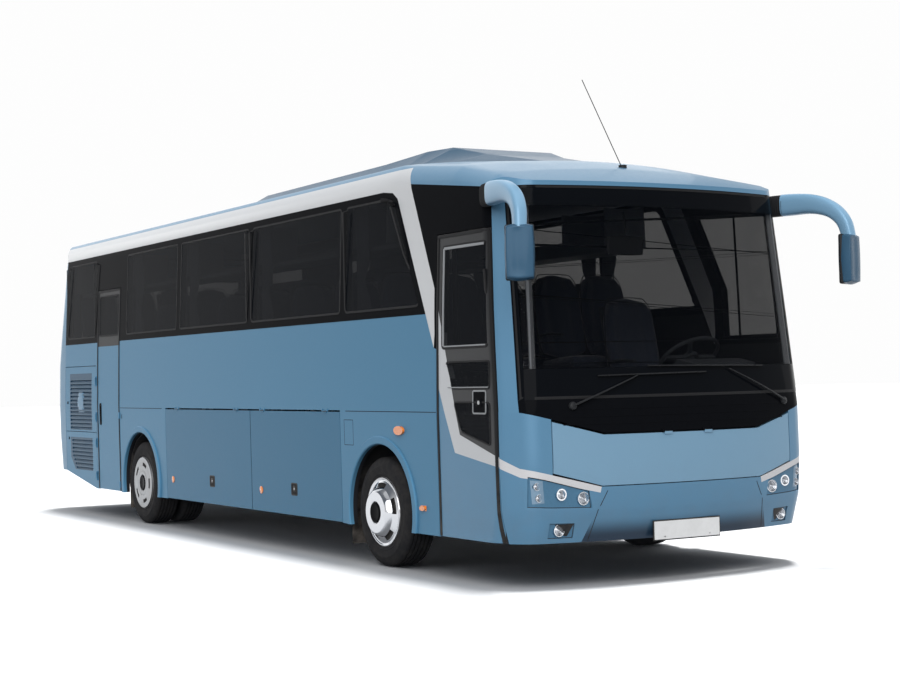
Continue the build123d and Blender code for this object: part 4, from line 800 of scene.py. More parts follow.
TYRE_HALF = 0.1173          # half the width
BEAD_RADIUS = 0.2335
LUG_STEPS = 180             # steps round the tyre; the cuts repeat every three and every six of them
GROOVES = (0.064, 0.032, 0.0)
FRONT_Y, REAR_INNER_Y = 1.0705, 0.8035


def tyre_profile(half):
    """(radius, offset) from one bead over the tread to the other."""
    wall = [(BEAD_RADIUS, half - 0.024), (0.246, half - 0.010), (0.262, half - 0.006), (0.266, half - 0.0035),
            (0.270, half - 0.0052), (0.300, half - 0.0008), (0.318, half), (0.322, half - 0.0022),
            (0.340, half - 0.0045), (0.352, half - 0.009), (0.364, half - 0.0145), (0.374, half - 0.023),
            (0.3805, half - 0.034), (0.3815, half - 0.050)]
    tread = []
    for g in GROOVES:
        for dy, dr in ((0.0062, 0.0), (0.0042, -0.0125), (-0.0042, -0.0125), (-0.0062, 0.0)):
            if g or dy > 0:
                tread.append((TYRE_RADIUS + dr, g + dy))
    upper = wall + tread
    return upper + [(r, -h) for r, h in reversed(upper)]


def lugs(r, h, angle):
    """Shoulder notches and narrow cuts across the tread's ribs."""
    turn = angle / (2 * math.pi) * LUG_STEPS
    if 0.36 < r and abs(h) > 0.078:
        return -0.0055 if turn % 3 < 0.9 else 0.0
    if r > 0.381 and abs(h) < 0.075:
        return -0.004 if (turn + abs(h) * 90) % 6 < 0.9 else 0.0
    return 0.0


def tyre_piece(name, centres, side, body, node_name):
    bead = TYRE_HALF - 0.024
    bm = bmesh.new()
    for c in centres:
        lathe(bm, c, (0, side, 0), tyre_profile(TYRE_HALF), LUG_STEPS, radius_shift=lugs)
        lathe(bm, c, (0, side, 0), [(BEAD_RADIUS, bead), (0.2322, bead - 0.006), (0.2322, -bead + 0.006),
                                    (BEAD_RADIUS, -bead)], 60)
    make(name, bm, TYRE, body, replaces=[node_name], angle=28)


for side, word in SIDES:
    outer, inner = (at(REAR_AXLE), side * FRONT_Y, HUB_Z), (at(REAR_AXLE), side * REAR_INNER_Y, HUB_Z)
    tyre_piece(f"front_tyre_tread_{word}", [(at(0), side * FRONT_Y, HUB_Z)], side, f"front_wheel_{word}",
               f"front_tyre_{word}")
    tyre_piece(f"rear_tyre_tread_{word}", [outer, inner], side, f"rear_wheel_{word}", f"rear_tyres_{word}")


# Wheels: rim with rolled edges, cover with five slots, dark cap, disc and brake drum

SLOTS, SLOT_HALF_ANGLE, SLOT_DEPTH = 5, 0.285, 0.018


def slotted_ring(bm, centre, side, profile, phase):
    """A spun cover of (radius, offset, 1 where slotted), with walls in its slots and a dark ring behind them as painted
    shade.
    """
    part = bmesh.new()
    lathe(part, (0, 0, 0), (0, 0, 1), [(r, h) for r, h, _ in profile], 150)
    bmesh.ops.remove_doubles(part, verts=part.verts, dist=1e-6)
    tagged = [i for i, row in enumerate(profile) if row[2]]
    outer, inner = profile[tagged[0]][0], profile[tagged[-1] + 1][0]
    low = profile[tagged[0]][1] - 0.004
    pitch = 2 * math.pi / SLOTS
    start = phase - math.pi / 2

    def in_slot(face):
        c = face.calc_center_median()
        angle = (math.atan2(c.y, c.x) - start) % pitch
        return inner < math.hypot(c.x, c.y) < outer and min(angle, pitch - angle) < SLOT_HALF_ANGLE

    bmesh.ops.delete(part, geom=[f for f in part.faces if in_slot(f)], context="FACES")
    rim = [e for e in part.edges if e.is_boundary
           and inner - 0.001 < math.hypot(e.verts[0].co.x, e.verts[0].co.y) < outer + 0.001]
    wall = bmesh.ops.extrude_edge_only(part, edges=rim)["geom"]
    bmesh.ops.translate(part, verts=[g for g in wall if isinstance(g, bmesh.types.BMVert)], vec=(0, 0, -SLOT_DEPTH))
    absorb(bm, part, 0, along(centre, (0, side, 0)))
    # Painted shade: a dark ring behind the slots
    lathe(bm, centre, (0, side, 0), [(outer + 0.004, low), (inner - 0.004, low)], 60, 1)


# Sections of a rim barrel, its disc, the rear brake drum and the front hub ring, as (radius, offset)
FLANGE = [(0.2345, 0.1035), (0.2425, 0.1105), (0.2435, 0.1060), (0.2345, 0.0985), (0.2318, 0.0900)]
BARREL = FLANGE + [(0.2316, -0.0900)] + [(r, -h) for r, h in reversed(FLANGE[:4])] + [
    (0.2240, -0.0960), (0.2140, -0.0700), (0.2120, 0.0000), (0.2140, 0.0600), (0.2220, 0.0900), (0.2345, 0.1035)]
DISC = [(0.2130, 0.030), (0.1950, 0.040), (0.1500, 0.034), (0.1000, 0.034), (0.0950, 0.010), (0.0945, -0.040),
        (0.0990, -0.040), (0.0995, 0.008), (0.1500, 0.026), (0.1940, 0.031), (0.2130, 0.020)]
REAR_DRUM = [(0.0, -0.010), (0.088, -0.010), (0.088, -0.035), (0.170, -0.042), (0.186, -0.052), (0.186, -0.112),
             (0.180, -0.118), (0.0, -0.118)]
FRONT_HUB = [(0.0372, -0.034), (0.088, -0.034), (0.088, -0.038), (0.0372, -0.038)]
# The outer face's offset from the wheel's centre, and the covers' (radius, offset, 1 where slotted)
FRONT_OUT, REAR_OUT = 0.175, 0.123
FRONT_COVER = [
    (0.2355, 0.1060, 0), (0.2385, 0.1100, 0), (0.2370, 0.1135, 0), (0.2300, 0.1140, 0), (0.2240, 0.1105, 0),
    (0.2180, 0.1100, 0), (0.2050, 0.1170, 1), (0.1950, 0.1225, 1), (0.1850, 0.1280, 1), (0.1740, 0.1345, 0),
    (0.1640, FRONT_OUT - 0.022, 0), (0.1560, FRONT_OUT - 0.011, 0), (0.1490, FRONT_OUT - 0.004, 0),
    (0.1430, FRONT_OUT - 0.0005, 0), (0.1340, FRONT_OUT, 0), (0.0900, FRONT_OUT + 0.0008, 0),
    (0.0780, FRONT_OUT - 0.0006, 0), (0.0740, FRONT_OUT - 0.004, 0), (0.0735, FRONT_OUT - 0.012, 0),
    (0.0, FRONT_OUT - 0.012, 0)]
REAR_COVER = [
    (0.2355, 0.1060, 0), (0.2385, 0.1095, 0), (0.2372, REAR_OUT - 0.004, 0), (0.2320, REAR_OUT - 0.0015, 0),
    (0.2250, REAR_OUT - 0.003, 0), (0.2140, REAR_OUT - 0.0035, 0), (0.1900, REAR_OUT - 0.0015, 1),
    (0.1780, REAR_OUT - 0.001, 1), (0.1680, REAR_OUT - 0.0005, 1), (0.1580, REAR_OUT, 0), (0.1220, REAR_OUT + 0.001, 0),
    (0.1190, REAR_OUT - 0.0005, 0), (0.1150, REAR_OUT + 0.0012, 0), (0.0900, REAR_OUT + 0.0016, 0),
    (0.0780, REAR_OUT, 0), (0.0740, REAR_OUT - 0.003, 0), (0.0735, REAR_OUT - 0.010, 0), (0.0, REAR_OUT - 0.010, 0)]


def wheel(body, node_name, name, side, x, cover, phase, metal, cap, barrels, hub):
    """Slotted cover, dark cap and what lies behind them; cap is (outer face, depth of its foot, depth of its edge)."""
    centre, axis = (at(x), side * FRONT_Y, HUB_Z), (0, side, 0)
    face, foot, edge = cap
    bm = bmesh.new()
    slotted_ring(bm, centre, side, cover, math.radians(phase))
    make(name.format("cover"), bm, [metal, JOINT_AND_SHADE_DARK], body, replaces=[node_name], angle=24)
    bm = bmesh.new()
    lathe(bm, centre, axis, [(0.0718, face - foot), (0.0722, face - edge), (0.0690, face + 0.0040),
                             (0.0600, face + 0.0062), (0.0560, face + 0.0052), (0.0, face + 0.0068)], 72)
    make(name.format("cap"), bm, BLACK, body, angle=30)
    bm = bmesh.new()
    for shift in barrels:
        lathe(bm, centre, axis, [(r, h + shift) for r, h in BARREL], 96)
        sign = -1 if shift else 1
        lathe(bm, centre, axis, [(r, sign * h + shift) for r, h in DISC], 64)
    lathe(bm, centre, axis, hub, 64)
    make(name.format("rim"), bm, STEEL, body, replaces=[node_name], angle=30)


for side, word in SIDES:
    wheel(f"front_wheel_{word}", f"front_wheel_{word}", f"front_wheel_{{}}_{word}", side, 0, FRONT_COVER, 34, CHROME,
          (FRONT_OUT, 0.010, 0.002), [0], FRONT_HUB)
    wheel(f"rear_wheel_{word}", f"rear_wheels_{word}", f"rear_wheel_{{}}_{word}", side, REAR_AXLE, REAR_COVER, 18,
          WHEEL_SILVER, (REAR_OUT, 0.008, 0.001), [0, REAR_INNER_Y - FRONT_Y], REAR_DRUM)


# Seats: two padded places on each frame, with wings, sewn channels, piping, arm rests and legs

def wings(p, q):
    """Side wings of a back, and a head that narrows and thickens toward the top."""
    head = (q.x + 1) / 2
    front = 1 if q.z > 0 else 0
    p.z += 0.020 * max(0.0, abs(q.y) - 0.55) / 0.45 * front
    if head > 0.72:
        p.y *= 1 - 0.22 * ((head - 0.72) / 0.28) ** 1.5
        p.z += 0.016 * math.sin((head - 0.72) / 0.28 * math.pi) * front
    return p


def seat_place(bm, x, y, width, base):
    """Cushion and back of one place, and their frames; the cushion's rear edge is at x."""
    cushion = frame_matrix((at(x + 0.205), y, base + 0.392), (1, 0, 0.06), (-0.06, 0, 1))
    pad(bm, (0.475, width, 0.092), cushion, 0.30, 0.02, 0.42,
        [(1, 0.58, 0.009, 0.05), (1, -0.58, 0.009, 0.05), (0, 0.15, 0.006, 0.05)], n=14)
    lean = Vector((-0.236, 0, 1)).normalized()
    back = frame_matrix((at(x - 0.042), y, base + 0.755), lean, (1, 0, 0.236))
    pad(bm, (0.655, width, 0.082), back, 0.22, 0.015, 0.40,
        [(1, 0.55, 0.010, 0.05), (1, -0.55, 0.010, 0.05), (0, 0.42, 0.010, 0.03), (0, -0.1, 0.005, 0.04)], n=16,
        shape=wings)
    return cushion, back


def seat_group(name, x, places, base, floor_z, legs=True):
    """The seats at some places across the coach, as soft pads and a hard frame with its legs."""
    bm = bmesh.new()
    hard = bmesh.new()
    width = 0.402 if len(places) > 1 else 0.44
    for y in places:
        cushion, back = seat_place(bm, x, y, width, base)
        w = width / 2 - 0.004
        edge = [(-0.30, -w, 0.022), (-0.30, w, 0.022), (0.17, w, 0.026), (0.296, w * 0.8, 0.026),
                (0.322, w * 0.5, 0.02), (0.322, -w * 0.5, 0.02), (0.296, -w * 0.8, 0.026), (0.17, -w, 0.026),
                (-0.30, -w, 0.022)]
        tube(hard, smooth_path([back @ Vector(p) for p in edge], 4), 0.004, 1, 6)
        box(hard, (-0.29, -w * 0.92, -0.052), (0.27, w * 0.92, -0.038), 0, back)
        box(hard, (-0.22, -w, -0.062), (0.22, w, -0.048), 0, cushion)
    low, high = min(places) - width / 2, max(places) + width / 2
    if legs:
        for y in (low + 0.10, high - 0.10):
            box(hard, (at(x + 0.07), y - 0.02, floor_z), (at(x + 0.33), y + 0.02, floor_z + 0.012), 2)
            for foot, head, top in ((0.10, 0.14, 0.335), (0.30, 0.26, 0.340)):
                tube(hard, [(at(x + foot), y, floor_z), (at(x + head), y, base + top)], 0.017, 2, 10)
        for y in (low + 0.012, high - 0.012):
            arm = [(at(x - 0.03), y, base + 0.60), (at(x + 0.12), y, base + 0.615), (at(x + 0.29), y, base + 0.607)]
            tube(hard, smooth_path(arm, 5), 0.015, 0, 10, 0.8)
    pads = make(f"seat_pads_{name}", bm, SEAT, "body", replaces=["seats"], angle=60)
    make(f"seat_frame_{name}", hard, [PLASTIC, PIPING, STEEL], "body", bevel=0.003)


ROW_PITCH = 0.76
for row in range(8):
    x = -0.13 - ROW_PITCH * row
    if row < 7:
        seat_group(f"right_{row + 1}", x, (-0.860, -0.440), 1.0, 1.0)
    seat_group(f"left_{row + 1}", x, (0.440, 0.860), 1.0, 1.0)
seat_group("rear_bench", -6.9, (-0.86, -0.43, 0.0, 0.43, 0.86), 1.27, 1.35, legs=False)
seat_group("driver", 0.51, (0.64,), 0.79, 0.85)
bm = bmesh.new()
box(bm, (at(-6.86), -1.08, 1.352), (at(-6.50), 1.08, 1.585))
lathe(bm, (at(0.71), 0.64, 0.85), (0, 0, 1), [(0.15, 0.0), (0.15, 0.012), (0.07, 0.03), (0.062, 0.16), (0.10, 0.19),
                                              (0.10, 0.25), (0.17, 0.275), (0.17, 0.285), (0.0, 0.285)], 32)
make("seat_bases", bm, PLASTIC, "body", bevel=0.006, replaces=["seats"])

# Curtains: gathered beside each pillar, tied at window height

PANE_PILLARS = (-5.215, -3.81, -2.23, -0.54)
CURTAIN_FOOT, CURTAIN_TALL, TIE_HEIGHT = 1.802, 0.76, 2.02
FOLDS, COLUMNS, LEVELS = 9, 96, 26


def curtain(name, side, number, part_no, a, b):
    """One gathered curtain from a to b; its outer end stays put where the tie draws it in."""
    anchor = 0.0 if part_no == 2 else 1.0
    rows = []
    for j in range(LEVELS + 1):
        t = j / LEVELS
        z = CURTAIN_FOOT + t * CURTAIN_TALL
        spread = 1 - 0.42 * math.exp(-((z - TIE_HEIGHT) / 0.10) ** 2)
        row = []
        for i in range(COLUMNS + 1):
            u = i / COLUMNS
            wave = math.sin(u * FOLDS * 2 * math.pi + 0.8 * math.sin(5.1 * t + number)) \
                + 0.25 * math.sin(u * 31 + 3 * t + part_no)
            y = 1.0895 + 0.0125 * wave * (1 + 0.15 * math.sin(7 * t + 3 * u))
            row.append(Vector((at(a + (b - a) * (anchor + (u - anchor) * spread)), side * y, z)))
        rows.append(row)
    bm = bmesh.new()
    skin(bm, rows, closed=False)
    cloth = make(name, bm, CURTAIN, "body", replaces=["curtains"], angle=180, recalc=False)


for side, word in SIDES:
    for number, pillar in enumerate(PANE_PILLARS, start=1):
        for part_no, (a, b) in enumerate(((pillar - 0.235, pillar - 0.047), (pillar + 0.047, pillar + 0.235)), start=1):
            curtain(f"curtain_{word}_{number}_{part_no}", side, number, part_no, a, b)

# Seals and gaskets, following the body

WINDOW_FOOT, WINDOW_TOP = 1.795, 2.555
REAR_PILLAR = -6.045
LEFT, RIGHT = side_place(1), side_place(-1)
bm = bmesh.new()
for side in (-1, 1):
    edges = [-6.96] + [x for p in (REAR_PILLAR,) + PANE_PILLARS for x in (p - 0.045, p + 0.045)]
    for rear, front in zip(edges[0::2], edges[1::2]):
        if side < 0 and rear == REAR_PILLAR + 0.045:    # the rear door's window is here
            continue
        ribbon(bm, side_place(side), rounded(rect(rear, WINDOW_FOOT, front, WINDOW_TOP), 0.03), 0.016, 0.0022,
               step=0.5)
    outline = rounded([(-0.495, WINDOW_FOOT), (0.59, WINDOW_FOOT), (0.228, 2.505), (0.19, 2.54), (0.11, WINDOW_TOP),
                       (-0.495, WINDOW_TOP)], 0.03)
    ribbon(bm, side_place(side), outline, 0.016, 0.0022, step=0.4)
ribbon(bm, LEFT, [(0.905, 1.56), (1.48, 1.56), (1.418, 2.40), (0.64, 2.44), (0.905, 1.90)], 0.018, 0.0025, step=0.15)
ribbon(bm, LEFT, [(1.03, 1.565), (1.03, 2.42)], 0.022, 0.003, closed=False, step=0.3)
make("side_window_gaskets", bm, RUBBER, "body", angle=50)

bm = bmesh.new()
for outline, width in ((((0.911, 1.50), (1.476, 1.50), (1.438, 2.165), (0.911, 2.165)), 0.017),
                       (((1.04, 1.235), (1.50, 1.235), (1.50, 1.41), (0.96, 1.41)), 0.012),
                       (((1.15, 0.96), (1.50, 0.88), (1.50, 1.15), (1.06, 1.15)), 0.012)):
    ribbon(bm, RIGHT, rounded(outline, 0.03), width, 0.004, step=0.2)
ribbon(bm, RIGHT, [(0.8535, 0.278), (0.8535, 2.232), (1.466, 2.232)], 0.024, 0.006, closed=False, step=0.1)
ribbon(bm, RIGHT, [(1.5655, 0.278), (1.5655, 1.10), (1.4600, 2.232)], 0.028, 0.007, closed=False, step=0.1)
make("front_door_seals", bm, RUBBER, "front_door", angle=50)
bm = bmesh.new()
for line, width, height in ((((0.926, 1.515), (0.926, 2.15)), 0.020, 0.005),
                            (((0.93, 2.1515), (1.425, 2.1515)), 0.020, 0.005),
                            (((0.936, 1.512), (1.452, 1.512)), 0.010, 0.005),
                            (((0.985, 1.245), (1.045, 1.245), (1.485, 1.245)), 0.008, 0.004),
                            (((0.975, 1.40), (1.035, 1.2475)), 0.014, 0.005)):
    ribbon(bm, RIGHT, line, width, height, closed=False, step=0.2)
make("front_door_glass_trim", bm, SATIN_GREY, "front_door", angle=50)

bm = bmesh.new()
ribbon(bm, RIGHT, [(-5.372, 0.278), (-5.372, 2.238), (-6.006, 2.238), (-6.006, 0.278)], 0.024, 0.005, closed=False,
       step=0.15)
ribbon(bm, RIGHT, rounded(rect(-5.965, WINDOW_FOOT, -5.415, 2.19), 0.035), 0.016, 0.003, step=0.2)
make("rear_door_seals", bm, RUBBER, "rear_door", angle=50)

bm = bmesh.new()
ribbon(bm, on_nose, [(-1.112, 1.172), (1.112, 1.172), (1.075, 2.493), (-1.075, 2.493)], 0.016, 0.003, step=0.08)
ribbon(bm, on_nose, [(-1.118, 1.166), (1.118, 1.166)], 0.012, 0.002, closed=False, step=0.08)
make("windscreen_gasket", bm, RUBBER, "body", angle=50)
bm = bmesh.new()
ribbon(bm, on_tail, [(-0.922, 1.80), (0.922, 1.80), (0.898, 2.442), (-0.898, 2.442)], 0.022, 0.004, step=0.08)
make("rear_window_gasket", bm, RUBBER, "body", angle=50)


# Lamps: bowl, bright ring and domed lens on each lens seat of the front corners

# (height, distance from the middle, radius, kind)
LAMPS = [(0.545, 0.758, 0.041, "main"), (0.574, 0.899, 0.036, "ring"), (0.628, 1.046, 0.024, "small"),
         (0.556, 1.034, 0.024, "small"), (0.350, 0.893, 0.038, "main")]


def lens_dome(r, rise, steps=7):
    """Profile of a shallow dome that closes at its pole."""
    return [(r * math.cos(k * math.pi / 2 / steps), rise * math.sin(k * math.pi / 2 / steps)) for k in range(steps + 1)]


for side, word in SIDES:
    metal, clear, dark = bmesh.new(), bmesh.new(), bmesh.new()
    for z, y, r, kind in LAMPS:
        seat, _ = on_nose(side * y, z)
        face = seat + Vector((0.0006, 0, 0))
        rim = [(r * 1.0, -0.003), (r * 1.03, 0.004), (r * 1.0, 0.0075), (r * 0.93, 0.0078), (r * 0.90, 0.004)]
        if kind == "ring":
            rim = [(r * 1.0, -0.003), (r * 1.05, 0.004), (r * 1.02, 0.0085), (r * 0.80, 0.0085), (r * 0.74, 0.003)]
        lathe(metal, face, (1, 0, 0), rim, 56, 1)
        ridges = [(r * 0.92, 0.004)]
        for k in range(7):
            ridges += [(r * (0.86 - 0.11 * k), 0.0026), (r * (0.82 - 0.11 * k), 0.0012)]
        lathe(metal, face, (1, 0, 0), ridges + [(0.0, 0.001)], 56)
        lathe(metal, face + Vector((0.001, 0, 0)), (1, 0, 0), lens_dome(r * 0.26, r * 0.16), 24)
        lathe(clear, face + Vector((0.004, 0, 0)), (1, 0, 0), lens_dome(r * 0.93, 0.0062), 40)
    patch(metal, lambda y, z: on_nose(side * y, z), [(1.068, 0.520), (1.000, 0.524), (1.012, 0.662), (1.080, 0.668)],
          0.0012, 2, 10)
    patch(dark, lambda y, z: on_nose(side * y, z), [(0.852, 0.312), (0.835, 0.312), (0.803, 0.388), (0.925, 0.389)],
          0.0010)
    for outline in (((0.706, 0.4865), (0.7215, 0.589), (1.0, 0.6655), (1.094, 0.6875), (1.094, 0.503), (0.959, 0.4945)),
                    ((0.8015, 0.302), (0.8015, 0.3905), (0.9585, 0.3945), (0.9585, 0.302))):
        ribbon(dark, on_nose, [(side * y, z) for y, z in outline], 0.005, 0.0012, step=0.03)
    make(f"front_lamp_metal_{word}", metal, [REFLECTOR, RING, CLUSTER], angle=40)
    make(f"front_lamp_lens_{word}", clear, LENS, angle=80)
    make(f"front_lamp_edge_{word}", dark, SATIN_BLACK, angle=50)

# Seams and trim on the nose: faint lines on the mask, bumper joints and plate holder

bm = bmesh.new()
for z in (1.097, 1.050, 1.003):
    ribbon(bm, on_nose, [(-0.88, z), (0.88, z)], 0.010, 0.0016, closed=False, step=0.06)
ribbon(bm, on_nose, [(-1.05, 1.1585), (1.05, 1.1585)], 0.006, 0.001, closed=False, step=0.08)
make("mask_lines", bm, BLACK, angle=50)
bm = bmesh.new()
for side in (-1, 1):
    ribbon(bm, on_nose, [(side * 0.598, 0.588), (side * 0.660, 0.470), (side * 0.700, 0.275)], 0.0055, 0.0006,
           closed=False, step=0.04)
make("bumper_joints", bm, JOINT_AND_SHADE_DARK, angle=50)
bm = bmesh.new()
low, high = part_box("number_plate")
box(bm, (low.x - 0.002, low.y - 0.008, low.z - 0.008), (low.x + 0.0045, high.y + 0.008, high.z + 0.008), bevel=0.0015)
for y in (-0.18, 0.18):
    lathe(bm, (high.x - 0.0004, y, low.z + 0.016), (1, 0, 0), [(0.0055, 0), (0.005, 0.0004), (0.0, 0.0004)], 16)
make("plate_holder", bm, SATIN_BLACK, angle=40)


# Mirrors: ribbed boots, smooth horn arms and rounded heads with glass behind

# (x, y, z, fall in degrees, height and width of the section) from the root to the head
ARM = [(1.380, 1.150, 2.450, 0, 0.150, 0.092), (1.600, 1.205, 2.450, 0, 0.150, 0.092),
       (1.790, 1.242, 2.436, 12, 0.132, 0.090), (1.935, 1.272, 2.384, 42, 0.112, 0.088),
       (2.018, 1.297, 2.300, 70, 0.098, 0.084), (2.045, 1.312, 2.195, 88, 0.088, 0.078)]
ARM_YAW, BOOT_END = 0.19, 1.560


def arm_ring(row, side, grow=1.0):
    """A soft-cornered section of the arm at one row of its table."""
    corner, n = 3.2, 32
    x, y, z, fall, high, wide = row
    level, drop = math.cos(math.radians(fall)), math.sin(math.radians(fall))
    ahead_ = Vector((level, side * ARM_YAW * level, -drop)).normalized()
    across = Vector((-side * ARM_YAW, 1, 0)).normalized()
    upward = ahead_.cross(across)
    ring = []
    for k in range(n):
        a = 2 * math.pi * k / n
        c, s = math.cos(a), math.sin(a)
        u = math.copysign(abs(c) ** (2 / corner), c) * wide / 2 * grow
        v = math.copysign(abs(s) ** (2 / corner), s) * high / 2 * grow
        ring.append(Vector((at(x), side * y, z)) + across * u + upward * v)
    return ring


def head_shape(p, q):
    """A head's front face bulges, with one shallow flute down it."""
    p.x += 0.004 * (1 - q.y * q.y) * (1 if q.x > 0 else 0) - 0.004
    if q.x > 0:
        p.x -= 0.006 * math.exp(-((q.y + 0.15) / 0.42) ** 2) * max(0.0, 1 - abs(q.z) ** 6)
    return p


for side, word, turn in ((-1, "right", -33), (1, "left", 23)):
    rows = between(ARM, 8)
    bm = bmesh.new()
    start = next(i for i, r in enumerate(rows) if r[0] > BOOT_END)
    skin(bm, [arm_ring(r, side) for r in rows[start - 1:]], 0)
    make(f"mirror_arm_{word}", bm, LIT_ARM_BLUE, angle=50, replaces=["mirrors"])
    bm = bmesh.new()
    boot = []
    for k in range(41):
        t = k / 40
        row = [a + (b - a) * t for a, b in zip(ARM[0], ARM[1])]
        row[0] = 1.425 + (BOOT_END - 1.425) * t
        row[1] = 1.150 + 0.055 * (row[0] - 1.38) / 0.22
        boot.append(arm_ring(row, side, 1.0 - 0.11 * (0.5 + 0.5 * math.cos(t * 16 * math.pi))))
    skin(bm, boot, 0)
    make(f"mirror_boot_{word}", bm, RUBBER, angle=60, replaces=["mirrors"])
    shell = bmesh.new()
    centre = Matrix.Translation((at(2.047), side * 1.315, 2.046)) @ Matrix.Rotation(math.radians(turn), 4, "Z")
    pad(shell, (0.092, 0.180, 0.345), centre, 0, 0, 0.30, n=22, shape=head_shape)
    make(f"mirror_head_{word}", shell, SHADED_HEAD_BLUE, angle=180, replaces=["mirrors"])
    bm = bmesh.new()
    box(bm, (-0.0468, -0.0885, -0.168), (-0.014, 0.0885, 0.168), 0, centre, 0.014)
    make(f"mirror_rim_{word}", bm, SATIN_BLACK, angle=40)
    bm = bmesh.new()
    box(bm, (-0.0482, -0.071, -0.040), (-0.0462, 0.071, 0.148), 0, centre, 0.0008)
    box(bm, (-0.0482, -0.071, -0.148), (-0.0462, 0.071, -0.052), 0, centre, 0.0008)
    make(f"mirror_glass_{word}", bm, MIRROR_GLASS, angle=40)
bm = bmesh.new()
pad(bm, (0.026, 0.30, 0.13), Matrix.Translation((at(1.495), -0.14, 2.15)), 0, 0, 0.28, n=12)
tube(bm, smooth_path([(at(1.497), -0.14, 2.21), (at(1.499), -0.14, 2.30), (at(1.480), -0.14, 2.37)], 5), 0.007, 0, 12)
make("interior_mirror", bm, SATIN_BLACK, angle=60, replaces=["mirrors"])
bm = bmesh.new()
box(bm, (at(1.4812), -0.278, 2.094), (at(1.4820), -0.002, 2.206), 0)
make("interior_mirror_glass", bm, MIRROR_GLASS)


# Wipers: pivots, tapered arms, yoked frames and rubber blades

# Pivot (y, z), arm's end (y, z), and the blade's first y, last y and first z
WIPERS = [(-0.816, 1.118, -0.368, 1.297, -0.637, 0.171, 1.300), (0.899, 1.108, 0.371, 1.328, 0.699, -0.281, 1.345)]
for number, (py, pz, ty, tz, by0, by1, bz) in enumerate(WIPERS, start=1):
    bm = bmesh.new()
    foot, normal = on_nose(py, pz)
    lathe(bm, foot, normal, [(0.026, -0.002), (0.026, 0.012), (0.021, 0.020), (0.012, 0.024), (0.0, 0.0245)], 28)
    line = []
    for k in range(13):
        t = k / 12
        p, n = on_nose(py + (ty - py) * t, pz + (tz - pz) * t)
        line.append(p + n * (0.018 + 0.010 * math.sin(math.pi * t)))
    tube(bm, line, [0.0115 - 0.0055 * k / 12 for k in range(13)], 0, 10, 0.6)
    frame_line, blade_line = [], []
    for k in range(25):
        t = k / 24
        p, n = on_nose(by0 + (by1 - by0) * t, bz + 0.012 * t)
        frame_line.append(p + n * (0.0145 + 0.0035 * math.cos((t - 0.5) * math.pi)))
        blade_line.append(p + n * 0.0065)
    tube(bm, frame_line, [0.0035 + 0.002 * math.sin(math.pi * k / 24) for k in range(25)], 0, 8, 0.8)
    tube(bm, blade_line, 0.0042, 1, 8, 1.2)
    for k in (2, 7, 12, 17, 22):
        yoke = along((blade_line[k] + frame_line[k]) / 2, (1, 0, 0))
        box(bm, (-0.006, -0.004, -0.004), (0.006, 0.004, 0.012), 0, yoke)
    make(f"wiper_{number}", bm, [SATIN_BLACK, RUBBER], angle=50, replaces=["wipers"])


# Grilles: blades behind the slots, blank plate and latches

for side, word in SIDES:
    for body, z0, count, x0, x1 in ((f"grille_door_upper_{word}", 0.862, 14, -6.885, -6.208),
                                    (f"grille_door_lower_{word}", 0.450, 8, -6.848, -6.194)):
        bm = bmesh.new()
        for k in range(count):
            z = z0 + 0.040 * k + 0.010
            left = x0 + (max(0.0, LOWER_SLANT_Z - z) * LOWER_SLANT if "lower" in body else 0.0)
            p, n = on_side(side, (x0 + x1) / 2, z + 0.020)
            tilt = Matrix.Rotation(math.radians(35 * side), 4, "X")
            m = Matrix.Translation((0, p.y - n.y * 0.0120, z + 0.002)) @ tilt
            box(bm, (at(left) + 0.012, -0.0010, -0.012), (at(x1) - 0.012, 0.0010, 0.012), 0, m)
        make(f"{body}_blades", bm, SHADED_GRILLE_BLUE, body)
    bm = bmesh.new()
    patch(bm, side_place(side), rect(-6.640, 1.03, -6.455, 1.23), 0.002, cells=6)
    make(f"grille_plate_{word}", bm, BLUE, f"grille_door_upper_{word}", angle=50)
    for body, x, z in ((f"grille_door_upper_{word}", -6.965, 1.13), (f"grille_door_lower_{word}", -6.945, 0.760)):
        bm = bmesh.new()
        p, n = on_side(side, x, z)
        lathe(bm, p, n, [(0.015, -0.002), (0.015, 0.003), (0.012, 0.0045), (0.0, 0.0045)], 24)
        make(f"{body}_latch", bm, BLACK, body)

